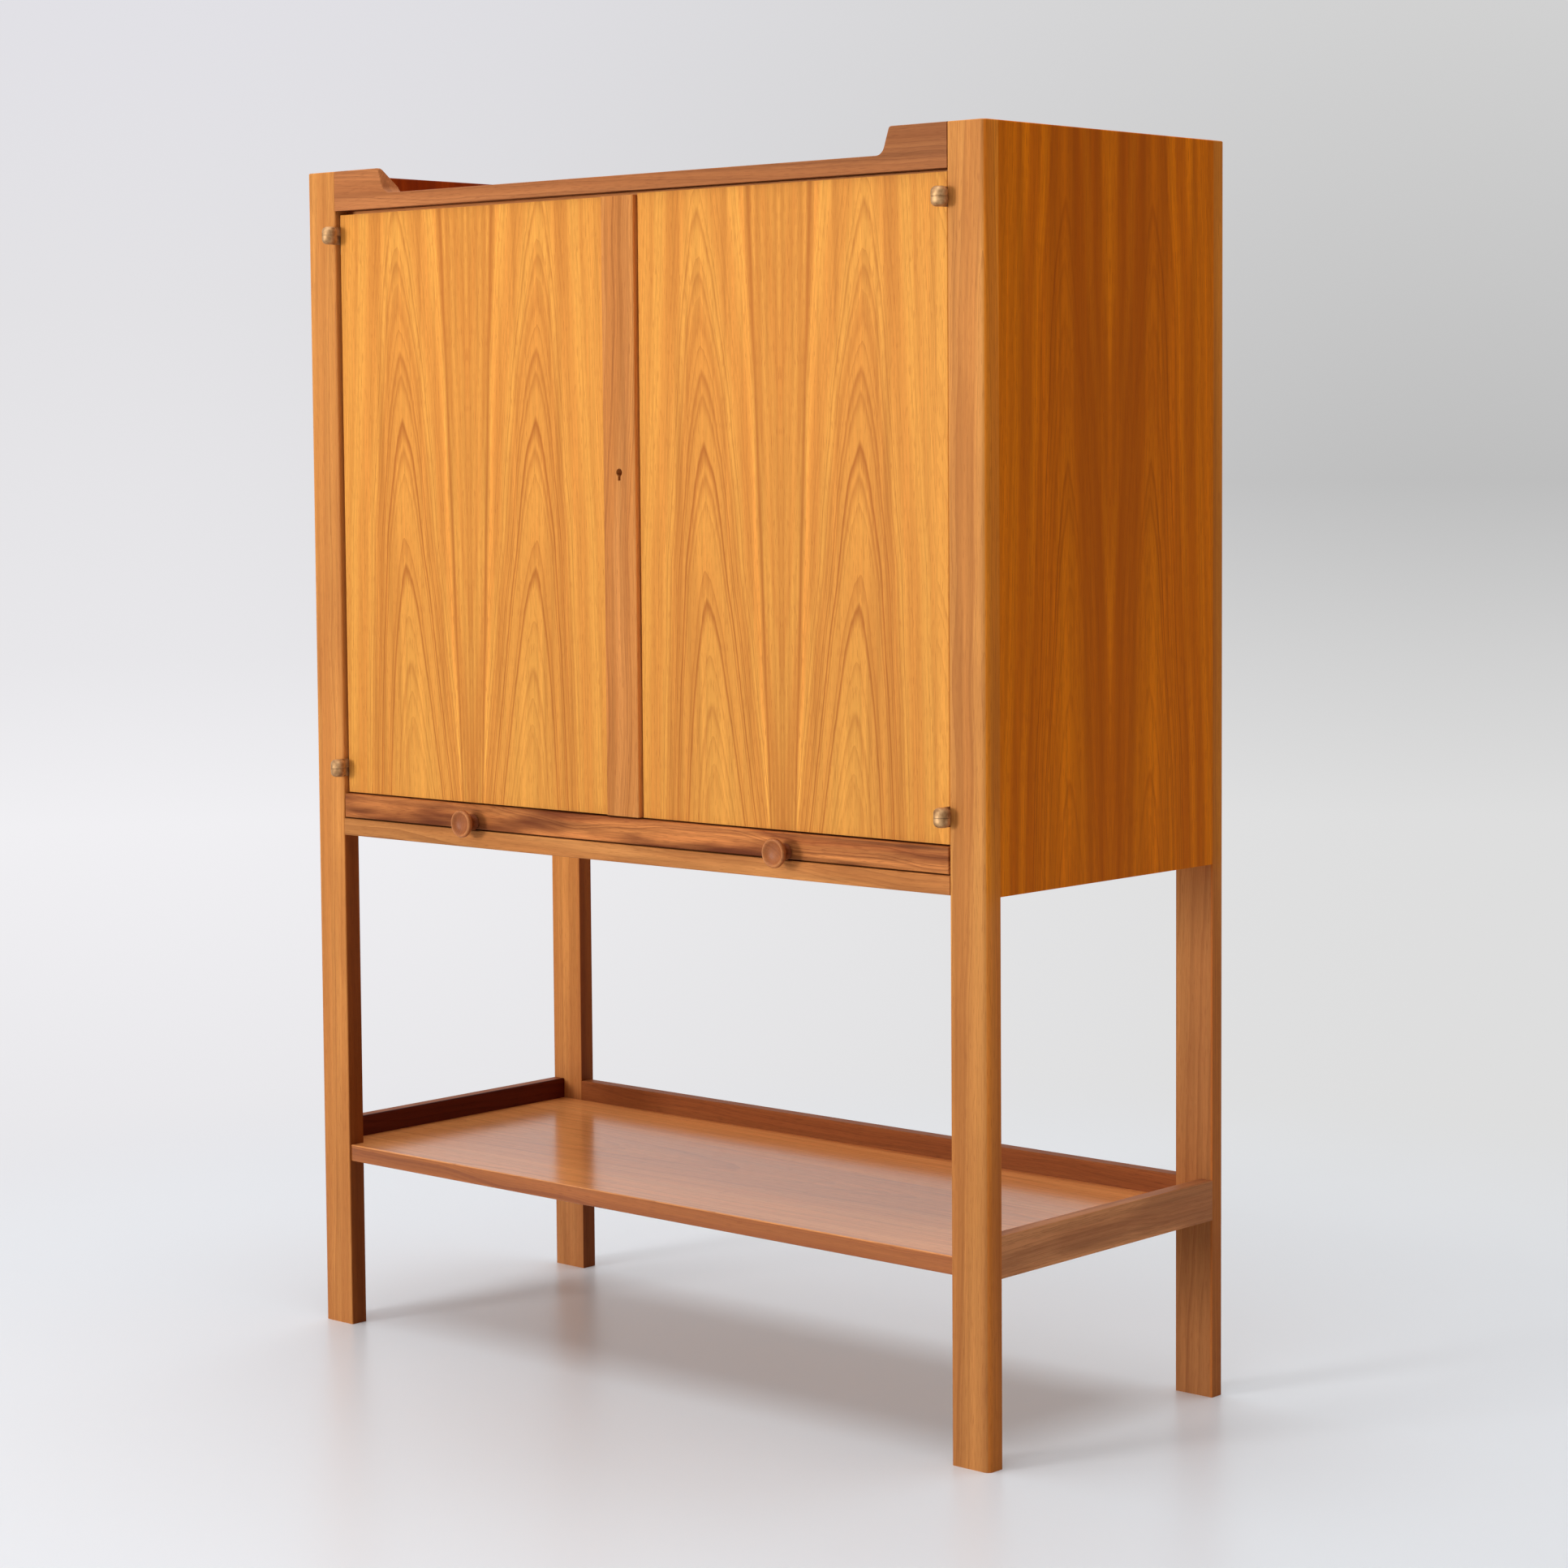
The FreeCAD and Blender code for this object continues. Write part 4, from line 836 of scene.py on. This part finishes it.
finishes["shelf_right"] = wood("shelf_right_wood", RIM_TONES, clouds=0.5, streaks=0.22, shift=8.3,
                               **RIM_GRAIN)
print("shelf from", round(shelf_under, 3), "to", round(shelf_face, 3))

# %% [markdown]
# ## Boards inside and behind
#
# The sunk top and the slide's board have the open shelf's veneer without its polish. The boards
# inside and the back are plainer veneer, and the strips and dowels are bare wood.

# %% Finishes of the inner boards
finishes["top"] = wood("top_veneer", SHELF_TONES, axes="YZX", pith=(0.0, 0.35), taper=0.03,
                       lines=0.35, roughness=0.40, shine=0.12, shift=2.9)
finishes["board"] = wood("board_veneer", BOARD_TONES, axes="YZX", pith=(0.1, 0.9), taper=0.03,
                         lines=0.4, shift=0.8)
finishes["back"] = wood("back_veneer", BOARD_TONES, pith=(0.1, 0.5), mirror=0.0, taper=0.04,
                        shift=6.1)
finishes["pale"] = wood("pale_wood", PALE_TONES, axes="ZYX", pith=(0.3, 0.4), taper=0.02,
                        lines=0.3, pores=0.15, roughness=0.6, shift=1.1)
print("wooden finishes:", len(finishes))

# %% [markdown]
# ## Brass and steel
#
# The hinges are turned brass that has gone a little dull: fine turning marks catch the light, and
# a slow change in tone stands for years of handling. The lock and the screws that hide inside are
# plain steel.

# %% Metal finishes


def metal(name, bright, dull, roughness):
    """Turned or rolled metal with fine marks and patches of dulled surface."""
    finish, tree, shader = new_finish(name)
    place = add_node(tree, "ShaderNodeTexCoord").outputs["Object"]
    patches = add_node(tree, "ShaderNodeTexNoise", Vector=place, Scale=140.0,
                       Detail=3.0).outputs["Fac"]
    pressed = add_node(tree, "ShaderNodeMapping", Vector=place, Scale=(120.0, 120.0, 2600.0))
    marks = add_node(tree, "ShaderNodeTexNoise", Vector=pressed.outputs[0], Scale=1.0, Detail=1.0)
    plug(tree, shader.inputs["Base Color"], ramp(tree, patches, ((0.35, bright), (0.7, dull))))
    rough = add_node(tree, "ShaderNodeMapRange", Value=patches, To_Min=roughness - 0.08,
                     To_Max=roughness + 0.14)
    plug(tree, shader.inputs["Roughness"], rough.outputs["Result"])
    relief = add_node(tree, "ShaderNodeBump", Height=marks.outputs["Fac"], Strength=0.2,
                      Distance=0.02 * MM)
    plug(tree, shader.inputs["Normal"], relief.outputs["Normal"])
    plug(tree, shader.inputs["Metallic"], 1.0)
    return finish


finishes["brass"] = metal("aged_brass", colour(202, 164, 118), colour(150, 112, 74), 0.62)
finishes["steel"] = metal("plain_steel", colour(158, 156, 152), colour(122, 121, 119), 0.46)
print("all finishes:", len(finishes))

# %% [markdown]
# ## Turned knobs
#
# Each knob is turned on a lathe: a foot that meets the slide, a narrow waist, a swelling rim and a
# hollow face. In mesh code a lathe is a spin: half of the outline, drawn once as points, goes
# round the knob's axis. Two rounds of subdivision then smooth the outline the way sandpaper would.
# The new knobs stand in the place of the loaded ones and ride on the slide with them.

# %% Turned knobs
# Each pair is a distance from the knob's axis and one from the slide's front, in millimetres.
KNOB_OUTLINE = ((0.0, 0.3), (9.0, 0.3), (9.5, 0.9), (8.0, 4.0), (7.5, 7.5), (9.2, 11.2),
                (13.2, 14.6), (16.2, 17.4), (16.5, 20.2), (15.2, 22.6), (13.6, 22.9),
                (12.2, 20.8), (9.0, 18.6), (4.5, 17.6), (0.0, 17.4))
TURNING_STEPS = 40


def turned_knob(name, node, body):
    """A knob spun round its own axis, in the place of a loaded one."""
    low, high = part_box(node)
    middle_x, middle_z = (low[0] + high[0]) / 2, (low[2] + high[2]) / 2
    shape = bmesh.new()
    outline = [shape.verts.new((middle_x + radius * MM, high[1] - reach * MM, middle_z))
               for radius, reach in KNOB_OUTLINE]
    edges = [shape.edges.new(pair) for pair in zip(outline, outline[1:])]
    bmesh.ops.spin(shape, geom=outline + edges, cent=(middle_x, 0, middle_z), axis=(0, 1, 0),
                   angle=math.tau, steps=TURNING_STEPS, use_merge=True)
    bmesh.ops.remove_doubles(shape, verts=shape.verts, dist=0.01 * MM)
    bmesh.ops.recalc_face_normals(shape, faces=shape.faces)
    for face in shape.faces:
        face.smooth = True
    data = bpy.data.meshes.new(name)
    shape.to_mesh(data)
    shape.free()
    knob = bpy.data.objects.new(name, data)
    bpy.context.scene.collection.objects.link(knob)
    smoother = knob.modifiers.new("smooth", "SUBSURF")
    smoother.levels = smoother.render_levels = 2
    data.materials.append(finishes["knob"])
    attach(knob, body)
    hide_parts(node)
    return knob


for side in ("left", "right"):
    knob = turned_knob(side + "_turned_knob", side + "_knob", "slide")
    print(knob.name, len(knob.data.vertices), "points")

# %% [markdown]
# ## Dress the loaded pieces
#
# Each loaded piece keeps its shape and only changes its finish. A table says which finish goes to
# which pieces; whatever it doesn't name is brass.

# %% Finish of each loaded piece
WORN_BY = {
    "left_door": ("left_door_panel", "left_door_hinge_lipping"),
    "right_door": ("right_door_panel", "right_door_meeting_lipping"),
    "lipping": ("right_door_hinge_lipping",),
    "left_side": ("left_side_panel",),
    "right_side": ("right_side_panel",),
    "left_leg": ("front_left_leg", "rear_left_leg"),
    "right_leg": ("front_right_leg", "rear_right_leg"),
    "upright": ("meeting_strip",),
    "rail": ("front_top_rail", "rear_top_rail"),
    "low_rail": ("front_bottom_rail",),
    "slide": ("slide_front", "left_knob", "right_knob"),
    "shelf_rail": ("lower_shelf_front_edge",),
    "shelf_back": ("lower_shelf_back_rail",),
    "shelf_left": ("lower_shelf_left_rail",),
    "shelf_right": ("lower_shelf_right_rail",),
    "shelf": ("lower_shelf_board",),
    "top": ("slide_board", "top_panel"),
    "board": ("cabinet_floor", "case_bottom_panel", "lower_inner_shelf", "upper_inner_shelf"),
    "back": ("back_panel",),
    "pale": ("case_dowels", "lower_shelf_dowels", "slide_runners", "slide_guides",
             "slide_stop_batten", "slide_end_batten"),
    "steel": ("lock_case", "lock_bolt", "lock_follower", "lock_screws", "knob_screws",
              "back_panel_screws"),
}
finish_of = {node: key for key, nodes in WORN_BY.items() for node in nodes}
for node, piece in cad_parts.items():
    finish = finishes[finish_of.get(node, "brass")]
    for slot in piece.material_slots:
        slot.material = finish
print("dressed:", len(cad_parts))
